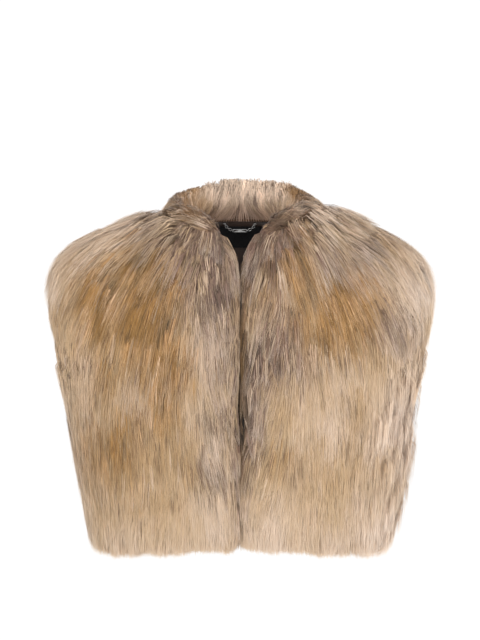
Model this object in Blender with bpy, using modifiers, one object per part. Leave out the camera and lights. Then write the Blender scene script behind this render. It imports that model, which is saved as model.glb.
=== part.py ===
"""Cropped fur vest, hollow and open as it is worn.

Pelt panels (two fronts and a back) are thin walls laid over horizontal body sections, each with a
closed solid for the reach of its pile.  A stand collar runs round the neck, furred on both faces.
The back carries a lining and a plain woven label, and a short chain with a bar hangs from two
staples at the back of the neck.

Metres, +Z up, the front faces -Y, +X is to the viewer's right.  The origin is the centre of the
neck at the level where the shoulders carry the vest.
"""

import math

import bmesh
import bpy
import numpy as np

# ------------------------------------------------------------------ driving sizes
PELT = 0.0020  # wall of a pelt panel
LINING = 0.0012  # wall of the lining
LINING_SHORT = 0.4  # share of the lowest row by which it stops short of the hem
LABEL = 0.0008  # wall of the woven label
SEAM = 0.0003  # clearance between pieces at a seam
LAYER = 0.0006  # clearance between layers: under the pile and behind the lining
PILE = 0.0325  # reach of the pile off the pelt

HEM = -0.408  # edge of the pelts
TIPS = -0.446  # where the pile ends below the hem
ARMPIT = -0.232
TIP = -0.064  # outer end of the shoulder seam
NECK = 0.004  # neck edge at the shoulder and the back
FRONT_EDGE = 0.0006  # each front edge stands this far from the middle

COLLAR_END = -0.020  # height of the neck edge above which the collar runs on the fronts
COLLAR_FOOT = 0.0026  # bare strip of the collar wall above its seam
COLLAR_PILE = 0.0170  # deepest reach of the collar's pile

LABEL_WIDTH, LABEL_TOP, LABEL_FOOT = 0.064, -0.0045, -0.0330

WIRE = 0.00045  # radius of the chain's wire
LINK_LONG, LINK_WIDE = 0.0052, 0.0036  # outside
LINK_PITCH = 0.0032
BAR_LONG, BAR_HIGH, BAR_THICK = 0.0205, 0.0044, 0.0010
BAR_HOLE = 0.00120  # radius of the hole at each end of the bar
STAPLE_WIDE, STAPLE_REACH, STAPLE_WIRE = 0.0056, 0.0046, 0.00050
HANG_Z = -0.0030  # height of the staples' crossbars
BACK_SLOPE = 1.15  # how much thicker the sloping layers are there when measured level
LINKS_A_SIDE = 5  # odd, so that the first and the last both stand edge on


def table(columns, *rows):
    return {
        name: np.array([row[i] for row in rows], float)
        for i, name in enumerate(columns.split())
    }


# Half sections of the pelts' outer face.  power shapes a section from an ellipse (2) to a box.
BODY = table(
    "z half_width front back power",
    (TIPS, 0.1690, 0.1140, 0.1040, 2.6),
    (HEM, 0.1745, 0.1165, 0.1060, 2.6),
    (-0.360, 0.1825, 0.1195, 0.1075, 2.6),
    (-0.290, 0.1945, 0.1235, 0.1095, 2.7),
    (-0.230, 0.2090, 0.1255, 0.1105, 2.8),
    (-0.165, 0.2285, 0.1245, 0.1110, 3.1),
    (-0.117, 0.2380, 0.1190, 0.1100, 3.2),
    (-0.085, 0.2370, 0.1100, 0.1060, 3.2),
    (-0.064, 0.2235, 0.1000, 0.0990, 3.0),
    (-0.040, 0.1855, 0.0870, 0.0895, 2.7),
    (-0.020, 0.1410, 0.0765, 0.0815, 2.5),
    (-0.005, 0.1000, 0.0685, 0.0755, 2.3),
    (NECK, 0.0775, 0.0640, 0.0720, 2.1),
)

# How far each side of the side seam the armhole is cut away, from the armpit (0) to the shoulder (1).
ARMHOLE = table(
    "along front back",
    (0.00, 0.0000, 0.0000),
    (0.07, 0.0260, 0.0250),
    (0.22, 0.0440, 0.0420),
    (0.45, 0.0530, 0.0490),
    (0.70, 0.0500, 0.0460),
    (0.90, 0.0300, 0.0280),
    (1.00, 0.0000, 0.0000),
)

# Distance of the front neck edge from the middle: a narrow V, then a slope up to the shoulder.
NECKLINE = table(
    "z half_width",
    (TIP, FRONT_EDGE),
    (-0.050, 0.0080),
    (-0.036, 0.0170),
    (-0.022, 0.0255),
    (-0.013, 0.0330),
    (-0.007, 0.0430),
    (-0.002, 0.0570),
    (NECK, 0.0755),
)

# The collar's wall, from the middle of the back (0) to its front ends (1), its lean outwards, and the
# lift of its foot's middle, with which its lower corners clear the neck edge by about a seam.
COLLAR = table(
    "along height lean lift",
    (0.00, 0.0405, 14.0, 0.0006),
    (0.14, 0.0395, 14.0, 0.0006),
    (0.25, 0.0365, 15.0, 0.0006),
    (0.35, 0.0295, 18.0, 0.0007),
    (0.46, 0.0220, 22.0, 0.0007),
    (0.60, 0.0145, 25.0, 0.0008),
    (0.80, 0.0085, 25.0, 0.0011),
    (1.00, 0.0050, 22.0, 0.0013),
)

# The pile thins towards these edges: share of PILE left at the edge, how far in it is full, and
# whether it falls off as a quarter round (2) or straight (1).
EDGE_FALL = {
    "hem": (0.30, 0.040, 2),
    "centre_front": (0.42, 0.022, 2),
    "neck": (0.05, 0.037, 1),
    "armhole": (0.62, 0.026, 2),
}
NECK_INSET = 0.0032  # the pile starts this far from the neck seam

COLOURS = {  # base colour, roughness, metallic
    "pelt": ((0.16, 0.10, 0.06), 0.85, 0.0),
    "fur": ((0.56, 0.41, 0.27), 0.80, 0.0),
    "lining": ((0.030, 0.024, 0.022), 0.45, 0.0),
    "label": ((0.010, 0.010, 0.012), 0.60, 0.0),
    "metal": ((0.72, 0.71, 0.69), 0.22, 1.0),
}

FRONT, BACK = -1.0, 1.0


# ------------------------------------------------------------------ curves and sections
def smooth(xs, ys, at):
    """A curve through the points that doesn't overshoot them."""
    step = np.diff(xs)
    slope = np.diff(ys) / step
    tangent = np.concatenate([slope[:1], np.zeros(len(ys) - 2), slope[-1:]])
    for i in range(1, len(ys) - 1):
        if slope[i - 1] * slope[i] > 0:
            w0, w1 = 2 * step[i] + step[i - 1], step[i] + 2 * step[i - 1]
            tangent[i] = (w0 + w1) / (w0 / slope[i - 1] + w1 / slope[i])
    at = np.clip(at, xs[0], xs[-1])
    i = np.clip(np.searchsorted(xs, at) - 1, 0, len(xs) - 2)
    t, h = (at - xs[i]) / step[i], step[i]
    return (
        (1 + 2 * t) * (1 - t) ** 2 * ys[i]
        + t * (1 - t) ** 2 * h * tangent[i]
        + t * t * (3 - 2 * t) * ys[i + 1]
        + t * t * (t - 1) * h * tangent[i + 1]
    )


def along(points):
    """Length travelled at each point of a line."""
    return np.concatenate(
        [[0], np.cumsum(np.linalg.norm(np.diff(points, axis=0), axis=1))]
    )


def spaced(points, count):
    length = along(points)
    at = np.linspace(0, length[-1], count)
    return np.stack([np.interp(at, length, column) for column in points.T], 1)


def half_section(z, side, samples=260):
    """The pelt's outer face at height z, from the middle (x 0) to the side (y 0)."""
    power = smooth(BODY["z"], BODY["power"], z)
    width = smooth(BODY["z"], BODY["half_width"], z)
    depth = smooth(BODY["z"], BODY["front" if side == FRONT else "back"], z)
    turn = np.linspace(0, math.pi / 2, samples)
    x = width * np.sin(turn) ** (2 / power)
    y = side * depth * np.cos(turn) ** (2 / power)
    return np.stack([x, y, np.full(samples, z)], 1)


def armhole_cut(z, side):
    """Distance of a panel's outer edge from the side seam's plane."""
    share = (z - ARMPIT) / (TIP - ARMPIT)
    column = ARMHOLE["front" if side == FRONT else "back"]
    open_by = smooth(ARMHOLE["along"], column, share) if 0 < share < 1 else 0.0
    return max(float(open_by), SEAM * 0.75)


def neck_cut(z):
    """Distance of a front's inner edge from the middle."""
    if z <= NECKLINE["z"][0]:
        return FRONT_EDGE
    return float(smooth(NECKLINE["z"], NECKLINE["half_width"], z))


def part_row(z, side, columns, inner, inset=0.0):
    """A row of panel points at height z, from the distance inner to the armhole or seam."""
    line = half_section(z, side)
    length = along(line)
    start = np.interp(inner, line[:, 0], length) + inset
    stop = np.interp(-armhole_cut(z, side), -np.abs(line[:, 1]), length)
    at = np.linspace(min(start, stop - 0.004), stop, columns)
    return np.stack([np.interp(at, length, column) for column in line.T], 1)


def heights(*stops):
    """Row heights along the side's outline: (height, steps to the next, crowded at both ends)."""
    rows = []
    for (low, steps, crowded), (high, _, _) in zip(stops, stops[1:]):
        z = np.linspace(low, high, 60)
        length = along(np.stack([smooth(BODY["z"], BODY["half_width"], z), z], 1))
        at = np.linspace(0, 1, steps + 1)
        if crowded:
            at = (1 - np.cos(math.pi * at)) / 2
        rows += list(np.interp(at * length[-1], length, z)[:-1])
    return np.array(rows + [stops[-1][0]])


PELT_ROWS = heights((HEM, 5, 0), (ARMPIT, 9, 1), (TIP, 5, 0), (NECK, 0, 0))
PILE_ROWS = np.concatenate([heights((TIPS, 2, 0), (HEM, 0, 0))[:-1], PELT_ROWS])
PILE_ROWS[-1] = NECK - NECK_INSET


def front_points(rows, hand, columns=10, inset=0.0):
    """A front panel as rows of points; hand is +1 for the one at +X."""
    flip = np.array([hand, 1, 1])
    return np.array(
        [
            part_row(
                z, FRONT, columns, neck_cut(z), inset * (z > NECKLINE["z"][0] - 0.004)
            )
            * flip
            for z in rows
        ]
    )


def back_points(rows, columns=10):
    """The back in one piece, from the side at -X to the side at +X."""
    grid = []
    for z in rows:
        half = part_row(z, BACK, columns, 0.0)
        grid.append(np.concatenate([(half * [-1, 1, 1])[:0:-1], half]))
    return np.array(grid)


def normals(grid, inside):
    """Unit normals of a grid of points, facing away from the point inside."""
    across, up = np.gradient(grid, axis=1), np.gradient(grid, axis=0)
    found = np.cross(across, up)
    found /= np.linalg.norm(found, axis=2, keepdims=True)
    sign = np.sign(((grid - inside) * found).sum(2).mean())
    return found * sign


INSIDE = np.array([0.0, 0.0, -0.22])


# ------------------------------------------------------------------ Blender helpers
def clear_scene():
    for obj in list(bpy.data.objects):
        bpy.data.objects.remove(obj, do_unlink=True)


def new_collection(name):
    made = bpy.data.collections.new(name)
    bpy.context.scene.collection.children.link(made)
    return made


def material(slot):
    made = bpy.data.materials.get(slot)
    if made is None:
        made = bpy.data.materials.new(slot)
        made.use_nodes = True
        shader = made.node_tree.nodes["Principled BSDF"]
        colour, rough, metal = COLOURS[slot]
        shader.inputs["Base Color"].default_value = (*colour, 1)
        shader.inputs["Roughness"].default_value = rough
        shader.inputs["Metallic"].default_value = metal
    return made


def place(mesh, name, slot, collection):
    obj = bpy.data.objects.new(name, mesh)
    mesh.materials.append(material(slot))
    mesh.shade_smooth()
    collection.objects.link(obj)
    return obj


def grid_object(name, grid, outward, slot, collection):
    """A sheet of quads through rows of points, its faces turned towards outward."""
    rows, columns = grid.shape[:2]
    bm = bmesh.new()
    bmesh.ops.create_grid(bm, x_segments=columns - 1, y_segments=rows - 1, size=0.5)
    for vert in bm.verts:
        column = round((vert.co.x + 0.5) * (columns - 1))
        row = round((vert.co.y + 0.5) * (rows - 1))
        vert.co = grid[row, column]
        vert.index = row * columns + column
    bm.verts.sort()
    bm.verts.index_update()
    bm.normal_update()
    facing = np.array([vert.normal for vert in bm.verts])
    if (facing * outward.reshape(-1, 3)).sum() < 0:
        bmesh.ops.reverse_faces(bm, faces=bm.faces)
    mesh = bpy.data.meshes.new(name)
    bm.to_mesh(mesh)
    bm.free()
    return place(mesh, name, slot, collection)


def thicken(obj, thickness, offset, share=None):
    """Solidify, along the normals for offset 1 and against them for -1, by a share at each point if given."""
    solid = obj.modifiers.new("Wall", "SOLIDIFY")
    solid.thickness = thickness
    solid.offset = offset
    solid.use_rim = True
    if share is not None:
        group = obj.vertex_groups.new(name="reach")
        for index, weight in enumerate(share.ravel()):
            group.add([index], float(weight), "REPLACE")
        solid.vertex_group = "reach"
        solid.thickness_vertex_group = 0.0
    return obj


# ------------------------------------------------------------------ pelt panels and their pile
def distance_to(points, line):
    """Distance of each point to a polyline, by its points."""
    dense = spaced(line, 160)
    return np.sqrt(
        ((points[..., None, :] - dense[None, None]) ** 2).sum(-1).min(-1)
    )


def fall(points, line, edge):
    """Share of the pile left near an edge, from the edge's share to 1."""
    left, width, roundness = EDGE_FALL[edge]
    far = 1 - np.clip(distance_to(points, line) / width, 0, 1)
    return left + (1 - left) * (1 - far**roundness) ** (1 / roundness)


def armhole_line(grid, rows, column):
    inside = (rows > ARMPIT - 1e-6) & (rows < TIP + 1e-6)
    return grid[inside, column]


def pelt(name, grid, collection):
    thicken(
        grid_object(name, grid, normals(grid, INSIDE), "pelt", collection), PELT, -1
    )


def pile(name, grid, rows, edges, collection):
    out = normals(grid, INSIDE)
    share = np.ones(grid.shape[:2])
    for line, edge in edges:
        share = np.minimum(share, fall(grid, line, edge))
    sheet = grid + out * LAYER
    thicken(grid_object(name, sheet, out, "fur", collection), PILE, 1, share)


def build_front(name, hand, collection):
    pelt(name, front_points(PELT_ROWS, hand), collection)
    grid = front_points(PILE_ROWS, hand, inset=NECK_INSET)
    neck = PILE_ROWS > NECKLINE["z"][0]
    pile(
        name + "_pile",
        grid,
        PILE_ROWS,
        [
            (grid[0], "hem"),
            (grid[~neck, 0], "centre_front"),
            (np.concatenate([grid[neck, 0], grid[-1]]), "neck"),
            (armhole_line(grid, PILE_ROWS, -1), "armhole"),
        ],
        collection,
    )


def build_back(name, collection):
    pelt(name, back_points(PELT_ROWS), collection)
    grid = back_points(PILE_ROWS)
    pile(
        name + "_pile",
        grid,
        PILE_ROWS,
        [
            (grid[0], "hem"),
            (grid[-1], "neck"),
            (armhole_line(grid, PILE_ROWS, 0), "armhole"),
            (armhole_line(grid, PILE_ROWS, -1), "armhole"),
        ],
        collection,
    )


# ------------------------------------------------------------------ lining and label
def back_inside(grid, depth):
    """Points of the back moved in from the pelt's outer face."""
    return grid - normals(grid, INSIDE) * depth


def build_lining(collection):
    """The back's own points, moved in; its hem and neck edges stop a little short."""
    grid = back_points(PELT_ROWS)
    out = normals(grid, INSIDE)
    sheet = grid - out * (PELT + LAYER)
    sheet[0] += (sheet[1] - sheet[0]) * LINING_SHORT
    sheet[-1] += (sheet[-2] - sheet[-1]) * 0.2
    thicken(grid_object("lining_back", sheet, out, "lining", collection), LINING, -1)


def build_label(collection):
    """A patch of the back's own points, moved in past the lining."""
    rows = np.linspace(LABEL_FOOT, LABEL_TOP, 5)
    grid = []
    for z in rows:
        line = half_section(z, BACK)
        x = np.linspace(-LABEL_WIDTH / 2, LABEL_WIDTH / 2, 9)
        y = np.interp(np.abs(x), line[:, 0], line[:, 1])
        grid.append(np.stack([x, y, np.full(len(x), z)], 1))
    grid = np.array(grid)
    sheet = back_inside(grid, PELT + LAYER + LINING + 2 * SEAM)
    thicken(
        grid_object("label", sheet, normals(grid, INSIDE), "label", collection),
        LABEL,
        -1,
    )


# ------------------------------------------------------------------ collar
def collar_path():
    """The middle of the pelts' neck edge, by their own points, from the collar's end at -X to +X."""
    sides = []
    for grid, edge in (
        (front_points(PELT_ROWS, -1), (PELT_ROWS > COLLAR_END, 0)),
        (back_points(PELT_ROWS), (-1, slice(None))),
        (front_points(PELT_ROWS, 1), (PELT_ROWS > COLLAR_END, 0)),
    ):
        sides.append(grid[edge] - normals(grid, INSIDE)[edge] * [1, 1, 0] * PELT / 2)
    return np.concatenate([sides[0], sides[1], sides[2][::-1]])


def collar_frame():
    path = collar_path()
    out = path - [0.0, 0.004, 0.0]
    out[:, 2] = 0
    out /= np.linalg.norm(out, axis=1, keepdims=True)
    share = np.abs(along(path) / along(path)[-1] * 2 - 1)
    height = smooth(COLLAR["along"], COLLAR["height"], share)
    lean = np.radians(smooth(COLLAR["along"], COLLAR["lean"], share))
    up = np.array([0, 0, 1]) * np.cos(lean)[:, None] + out * np.sin(lean)[:, None]
    face = out * np.cos(lean)[:, None] - np.array([0, 0, 1]) * np.sin(lean)[:, None]
    path[:, 2] += smooth(COLLAR["along"], COLLAR["lift"], share)
    return path, up, face, height, share


def build_collar(collection):
    foot, up, face, height, share = collar_frame()
    steps = np.linspace(0, 1, 5)
    wall = np.array([foot + up * (height * s)[:, None] for s in steps])
    thicken(
        grid_object("collar", wall, np.broadcast_to(face, wall.shape), "pelt", collection),
        PELT,
        0,
    )
    # The pile wraps the wall: up the inner face, over the top edge and down the outer face.
    clear = PELT / 2 + 3 * SEAM
    rise = np.linspace(0, 1, 5)
    sheet, outward, reach = [], [], []
    ends = np.clip((1 - share) / 0.16, 0, 1)
    ends = 0.35 + 0.65 * np.sqrt(1 - (1 - ends) ** 2)
    for side, rows in ((-1, rise), (1, rise[::-1])):
        for s in rows:
            at = COLLAR_FOOT + (height - COLLAR_FOOT) * s
            sheet.append(foot + up * at[:, None] + face * side * clear)
            outward.append(face * side)
            most = 0.62 if side < 0 else 1.0
            reach.append(ends * np.minimum(most, 0.10 + (at - COLLAR_FOOT) / 0.021))
        if side < 0:
            sheet.append(foot + up * (height + clear)[:, None])
            outward.append(up)
            reach.append(ends * 0.72)
    thicken(
        grid_object("collar_pile", np.array(sheet), np.array(outward), "fur", collection),
        COLLAR_PILE,
        1,
        np.array(reach),
    )


# ------------------------------------------------------------------ hanging chain
def hang_plane(crossbar):
    """Depth of the chain: the staples' reach in front of the lining, at their outer legs."""
    line = half_section(HANG_Z, BACK)
    face = float(np.interp(crossbar + STAPLE_WIDE / 2, line[:, 0], line[:, 1]))
    layers = (PELT + LAYER + LINING) * BACK_SLOPE
    return face - layers - SEAM - STAPLE_REACH


def ring(name, long, wide, wire, collection):
    """An oval link lying along +X in the XZ plane."""
    bpy.ops.mesh.primitive_torus_add(
        major_segments=14,
        minor_segments=6,
        major_radius=wide / 2 - wire,
        minor_radius=wire,
        rotation=(math.pi / 2, 0, 0),
    )
    obj = bpy.context.active_object
    obj.data.transform(obj.matrix_world)
    obj.matrix_world.identity()
    stretch = (long - wide) / 2
    for vert in obj.data.vertices:
        vert.co.x += math.copysign(stretch, vert.co.x) if abs(vert.co.x) > 1e-7 else 0
    for owner in list(obj.users_collection):
        owner.objects.unlink(obj)
    obj.name = obj.data.name = name
    obj.data.materials.append(material("metal"))
    obj.data.shade_smooth()
    collection.objects.link(obj)
    return obj


def build_bar(parent, z, collection, cutters):
    bm = bmesh.new()
    bmesh.ops.create_cube(bm, size=1)
    bmesh.ops.scale(bm, vec=(BAR_LONG, BAR_THICK, BAR_HIGH), verts=bm.verts)
    upright = [e for e in bm.edges if abs(e.verts[0].co.y - e.verts[1].co.y) > 1e-6]
    bmesh.ops.bevel(
        bm, geom=upright, offset=BAR_HIGH * 0.46, segments=5, affect="EDGES", profile=0.5
    )
    mesh = bpy.data.meshes.new("hanger_bar")
    bm.to_mesh(mesh)
    bm.free()
    bar = place(mesh, "hanger_bar", "metal", collection)
    for hand in (-1, 1):
        bpy.ops.mesh.primitive_cylinder_add(
            vertices=16,
            radius=BAR_HOLE,
            depth=4 * BAR_THICK,
            location=(hand * bar_hole(), 0, 0),
            rotation=(math.pi / 2, 0, 0),
        )
        cutter = bpy.context.active_object
        cutter.name = f"bar_hole_{'right' if hand > 0 else 'left'}"
        for owner in list(cutter.users_collection):
            owner.objects.unlink(cutter)
        cutters.objects.link(cutter)
        cutter.hide_render = True
        cutter.display_type = "WIRE"
        cutter.parent = parent
        cutter.location = (hand * bar_hole(), 0, z)
        hole = bar.modifiers.new("Hole", "BOOLEAN")
        hole.operation = "DIFFERENCE"
        hole.object = cutter
    bar.parent = parent
    bar.location = (0, 0, z)
    return bar


def bar_hole():
    return BAR_LONG / 2 - BAR_HIGH / 2 + 0.0002


def chain_places():
    """Middle and slope of each link from the bar's hole up to the staple, on an even bend."""
    start = np.array([bar_hole() + LINK_LONG / 2 - WIRE - BAR_HOLE * 0.1, 0.0])
    first, last = math.radians(12), math.radians(64)
    turns = np.linspace(first, last, LINKS_A_SIDE)
    at, places = start.copy(), []
    for i, turn in enumerate(turns):
        if i:
            mean = (turns[i - 1] + turn) / 2
            at = at + LINK_PITCH * np.array([math.cos(mean), math.sin(mean)])
        else:
            at = start + [0, LINK_PITCH * 0.2]
        places.append((at.copy(), turn))
    top, turn = places[-1]
    reach = LINK_LONG / 2 - 2 * WIRE - STAPLE_WIRE * 1.1
    crossbar = top + reach * np.array([math.cos(turn), math.sin(turn)])
    return places, crossbar


def build_chain(collection, cutters):
    places, crossbar = chain_places()
    depth = hang_plane(crossbar[0])
    swing = bpy.data.objects.new("hanger_axis", None)
    collection.objects.link(swing)
    swing.location = (0, depth, HANG_Z)
    build_bar(swing, -crossbar[1], collection, cutters)
    for hand, word in ((-1, "left"), (1, "right")):
        for i, (at, turn) in enumerate(places):
            link = ring(f"hanger_link_{word}_{i + 1}", LINK_LONG, LINK_WIDE, WIRE, collection)
            link.parent = swing
            link.rotation_mode = "XYZ"
            # Links lie crosswise in turn.  The first, in the bar's hole, and the last, on the
            # crossbar, stand edge on to the front.
            roll = math.pi / 2 if i % 2 == 0 else 0.0
            link.rotation_euler = (roll, -turn if hand > 0 else turn - math.pi, 0)
            link.location = (hand * at[0], 0, at[1] - crossbar[1])
    for hand, word in ((-1, "left"), (1, "right")):
        build_staple(f"hanger_staple_{word}", hand * crossbar[0], depth, collection)


def build_staple(name, x, depth, collection):
    """A bent wire: a crossbar along X with two legs running back to the lining."""
    curve = bpy.data.curves.new(name, "CURVE")
    curve.dimensions = "3D"
    curve.bevel_depth = STAPLE_WIRE
    curve.bevel_resolution = 2
    curve.use_fill_caps = True
    curve.materials.append(material("metal"))
    half, round_by = STAPLE_WIDE / 2 - STAPLE_WIRE, 0.0011
    line = [(-half, STAPLE_REACH - 2 * SEAM)]
    for i in range(5):
        turn = math.pi + (math.pi / 2) * i / 4
        line.append((-half + round_by + round_by * math.cos(turn), round_by + round_by * math.sin(turn)))
    line += [(-px, py) for px, py in line[::-1]]
    spline = curve.splines.new("POLY")
    spline.points.add(len(line) - 1)
    for point, (px, py) in zip(spline.points, line):
        point.co = (px, py, 0, 1)
    obj = bpy.data.objects.new(name, curve)
    obj.location = (x, depth, HANG_Z)
    collection.objects.link(obj)


# ------------------------------------------------------------------ the vest
def main():
    clear_scene()
    vest = new_collection("fur_vest")
    cutters = new_collection("fur_vest_cutters")
    build_front("front_left", -1, vest)
    build_front("front_right", 1, vest)
    build_back("back", vest)
    build_lining(vest)
    build_label(vest)
    build_collar(vest)
    build_chain(vest, cutters)
    bpy.context.view_layer.update()


main()
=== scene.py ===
"""Looks of the cropped fur vest: combed long hair on pelt walls, lining, blank label and chain.

The pelts follow the same body sections as the solids.  Hair is made as joined meshes of fine
tapering ribbons, combed along the surface in locks, with attributes for the material's nodes.
"""

import math

import bmesh
import bpy
import numpy as np
from mathutils import Matrix, Vector
from mathutils.kdtree import KDTree


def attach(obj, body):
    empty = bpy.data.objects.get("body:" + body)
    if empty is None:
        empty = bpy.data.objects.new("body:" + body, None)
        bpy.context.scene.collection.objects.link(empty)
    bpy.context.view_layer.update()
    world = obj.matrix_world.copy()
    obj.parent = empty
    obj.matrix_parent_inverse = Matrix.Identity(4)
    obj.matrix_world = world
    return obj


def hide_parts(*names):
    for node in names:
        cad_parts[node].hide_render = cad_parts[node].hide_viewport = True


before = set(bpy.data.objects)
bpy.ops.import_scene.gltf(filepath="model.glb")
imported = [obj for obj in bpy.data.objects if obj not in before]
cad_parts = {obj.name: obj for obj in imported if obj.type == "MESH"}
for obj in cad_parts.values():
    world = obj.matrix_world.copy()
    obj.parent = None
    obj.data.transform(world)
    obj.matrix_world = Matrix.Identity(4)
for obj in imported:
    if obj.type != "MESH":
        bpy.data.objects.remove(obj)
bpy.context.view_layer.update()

# ------------------------------------------------------------------ sizes, as in the solids
PELT, LINING, LABEL, SEAM, LAYER = 0.0020, 0.0012, 0.0008, 0.0003, 0.0006
HEM, TIPS, ARMPIT, TIP, NECK = -0.408, -0.446, -0.232, -0.064, 0.004
FRONT_EDGE = 0.0006
COLLAR_END = -0.0188
LABEL_WIDTH, LABEL_TOP, LABEL_FOOT = 0.064, -0.0045, -0.0330
WIRE, LINK_LONG, LINK_WIDE, LINK_PITCH = 0.00045, 0.0052, 0.0036, 0.0032
BAR_LONG, BAR_HIGH, BAR_THICK, BAR_HOLE = 0.0205, 0.0044, 0.0010, 0.00120
STAPLE_WIDE, STAPLE_REACH, STAPLE_WIRE = 0.0056, 0.0046, 0.00050
HANG_Z, BACK_SLOPE = -0.0030, 1.15
LINKS_A_SIDE = 5


def table(columns, *rows):
    return {
        name: np.array([row[i] for row in rows], float)
        for i, name in enumerate(columns.split())
    }


BODY = table(
    "z half_width front back power",
    (-0.520, 0.1600, 0.1100, 0.1000, 2.6),
    (TIPS, 0.1690, 0.1140, 0.1040, 2.6),
    (HEM, 0.1745, 0.1165, 0.1060, 2.6),
    (-0.360, 0.1825, 0.1195, 0.1075, 2.6),
    (-0.290, 0.1945, 0.1235, 0.1095, 2.7),
    (-0.230, 0.2090, 0.1255, 0.1105, 2.8),
    (-0.165, 0.2285, 0.1245, 0.1110, 3.1),
    (-0.117, 0.2380, 0.1190, 0.1100, 3.2),
    (-0.085, 0.2370, 0.1100, 0.1060, 3.2),
    (-0.064, 0.2235, 0.1000, 0.0990, 3.0),
    (-0.040, 0.1855, 0.0870, 0.0895, 2.7),
    (-0.020, 0.1410, 0.0765, 0.0815, 2.5),
    (-0.005, 0.1000, 0.0685, 0.0755, 2.3),
    (NECK, 0.0775, 0.0640, 0.0720, 2.1),
)
ARMHOLE = table(
    "along front back",
    (0.00, 0.0000, 0.0000),
    (0.07, 0.0260, 0.0250),
    (0.22, 0.0440, 0.0420),
    (0.45, 0.0530, 0.0490),
    (0.70, 0.0500, 0.0460),
    (0.90, 0.0300, 0.0280),
    (1.00, 0.0000, 0.0000),
)
NECKLINE = table(
    "z half_width",
    (TIP, FRONT_EDGE),
    (-0.050, 0.0080),
    (-0.036, 0.0170),
    (-0.022, 0.0255),
    (-0.013, 0.0330),
    (-0.007, 0.0430),
    (-0.002, 0.0570),
    (NECK, 0.0755),
)
COLLAR = table(
    "along height lean lift",
    (0.00, 0.0405, 14.0, 0.0006),
    (0.14, 0.0395, 14.0, 0.0006),
    (0.25, 0.0365, 15.0, 0.0006),
    (0.35, 0.0295, 18.0, 0.0007),
    (0.46, 0.0220, 22.0, 0.0007),
    (0.60, 0.0145, 25.0, 0.0008),
    (0.80, 0.0085, 25.0, 0.0011),
    (1.00, 0.0050, 22.0, 0.0013),
)
FRONT, BACK = -1.0, 1.0
INSIDE = np.array([0.0, 0.0, -0.22])


# ------------------------------------------------------------------ curves and sections
def smooth(xs, ys, at):
    step = np.diff(xs)
    slope = np.diff(ys) / step
    tangent = np.concatenate([slope[:1], np.zeros(len(ys) - 2), slope[-1:]])
    for i in range(1, len(ys) - 1):
        if slope[i - 1] * slope[i] > 0:
            w0, w1 = 2 * step[i] + step[i - 1], step[i] + 2 * step[i - 1]
            tangent[i] = (w0 + w1) / (w0 / slope[i - 1] + w1 / slope[i])
    at = np.clip(at, xs[0], xs[-1])
    i = np.clip(np.searchsorted(xs, at) - 1, 0, len(xs) - 2)
    t, h = (at - xs[i]) / step[i], step[i]
    return (
        (1 + 2 * t) * (1 - t) ** 2 * ys[i]
        + t * (1 - t) ** 2 * h * tangent[i]
        + t * t * (3 - 2 * t) * ys[i + 1]
        + t * t * (t - 1) * h * tangent[i + 1]
    )


def ease(low, high, value):
    """0 to 1 with soft ends as value goes from low to high."""
    t = np.clip((np.asarray(value, float) - low) / (high - low), 0, 1)
    return t * t * (3 - 2 * t)


def unit(v):
    return v / np.maximum(np.linalg.norm(v, axis=-1, keepdims=True), 1e-12)


def along(points):
    return np.concatenate([[0], np.cumsum(np.linalg.norm(np.diff(points, axis=0), axis=1))])


def spaced(points, count):
    length = along(points)
    at = np.linspace(0, length[-1], count)
    return np.stack([np.interp(at, length, column) for column in points.T], 1)


def half_section(z, side, samples=260):
    power = smooth(BODY["z"], BODY["power"], z)
    width = smooth(BODY["z"], BODY["half_width"], z)
    depth = smooth(BODY["z"], BODY["front" if side == FRONT else "back"], z)
    turn = np.linspace(0, math.pi / 2, samples)
    x = width * np.sin(turn) ** (2 / power)
    y = side * depth * np.cos(turn) ** (2 / power)
    return np.stack([x, y, np.full(samples, z)], 1)


def armhole_cut(z, side):
    share = (z - ARMPIT) / (TIP - ARMPIT)
    column = ARMHOLE["front" if side == FRONT else "back"]
    open_by = smooth(ARMHOLE["along"], column, share) if 0 < share < 1 else 0.0
    return max(float(open_by), SEAM * 0.75)


def neck_cut(z):
    if z <= NECKLINE["z"][0]:
        return FRONT_EDGE
    return float(smooth(NECKLINE["z"], NECKLINE["half_width"], z))


def part_row(z, side, columns, inner):
    line = half_section(z, side)
    length = along(line)
    start = np.interp(inner, line[:, 0], length)
    stop = np.interp(-armhole_cut(z, side), -np.abs(line[:, 1]), length)
    at = np.linspace(min(start, stop - 0.004), stop, columns)
    return np.stack([np.interp(at, length, column) for column in line.T], 1)


def heights(*stops):
    rows = []
    for (low, steps, crowded), (high, _, _) in zip(stops, stops[1:]):
        z = np.linspace(low, high, 60)
        length = along(np.stack([smooth(BODY["z"], BODY["half_width"], z), z], 1))
        at = np.linspace(0, 1, steps + 1)
        if crowded:
            at = (1 - np.cos(math.pi * at)) / 2
        rows += list(np.interp(at * length[-1], length, z)[:-1])
    return np.array(rows + [stops[-1][0]])


def normals(grid, inside=INSIDE):
    across, up = np.gradient(grid, axis=1), np.gradient(grid, axis=0)
    found = unit(np.cross(across, up))
    return found * np.sign(((grid - inside) * found).sum(2).mean())


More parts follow.
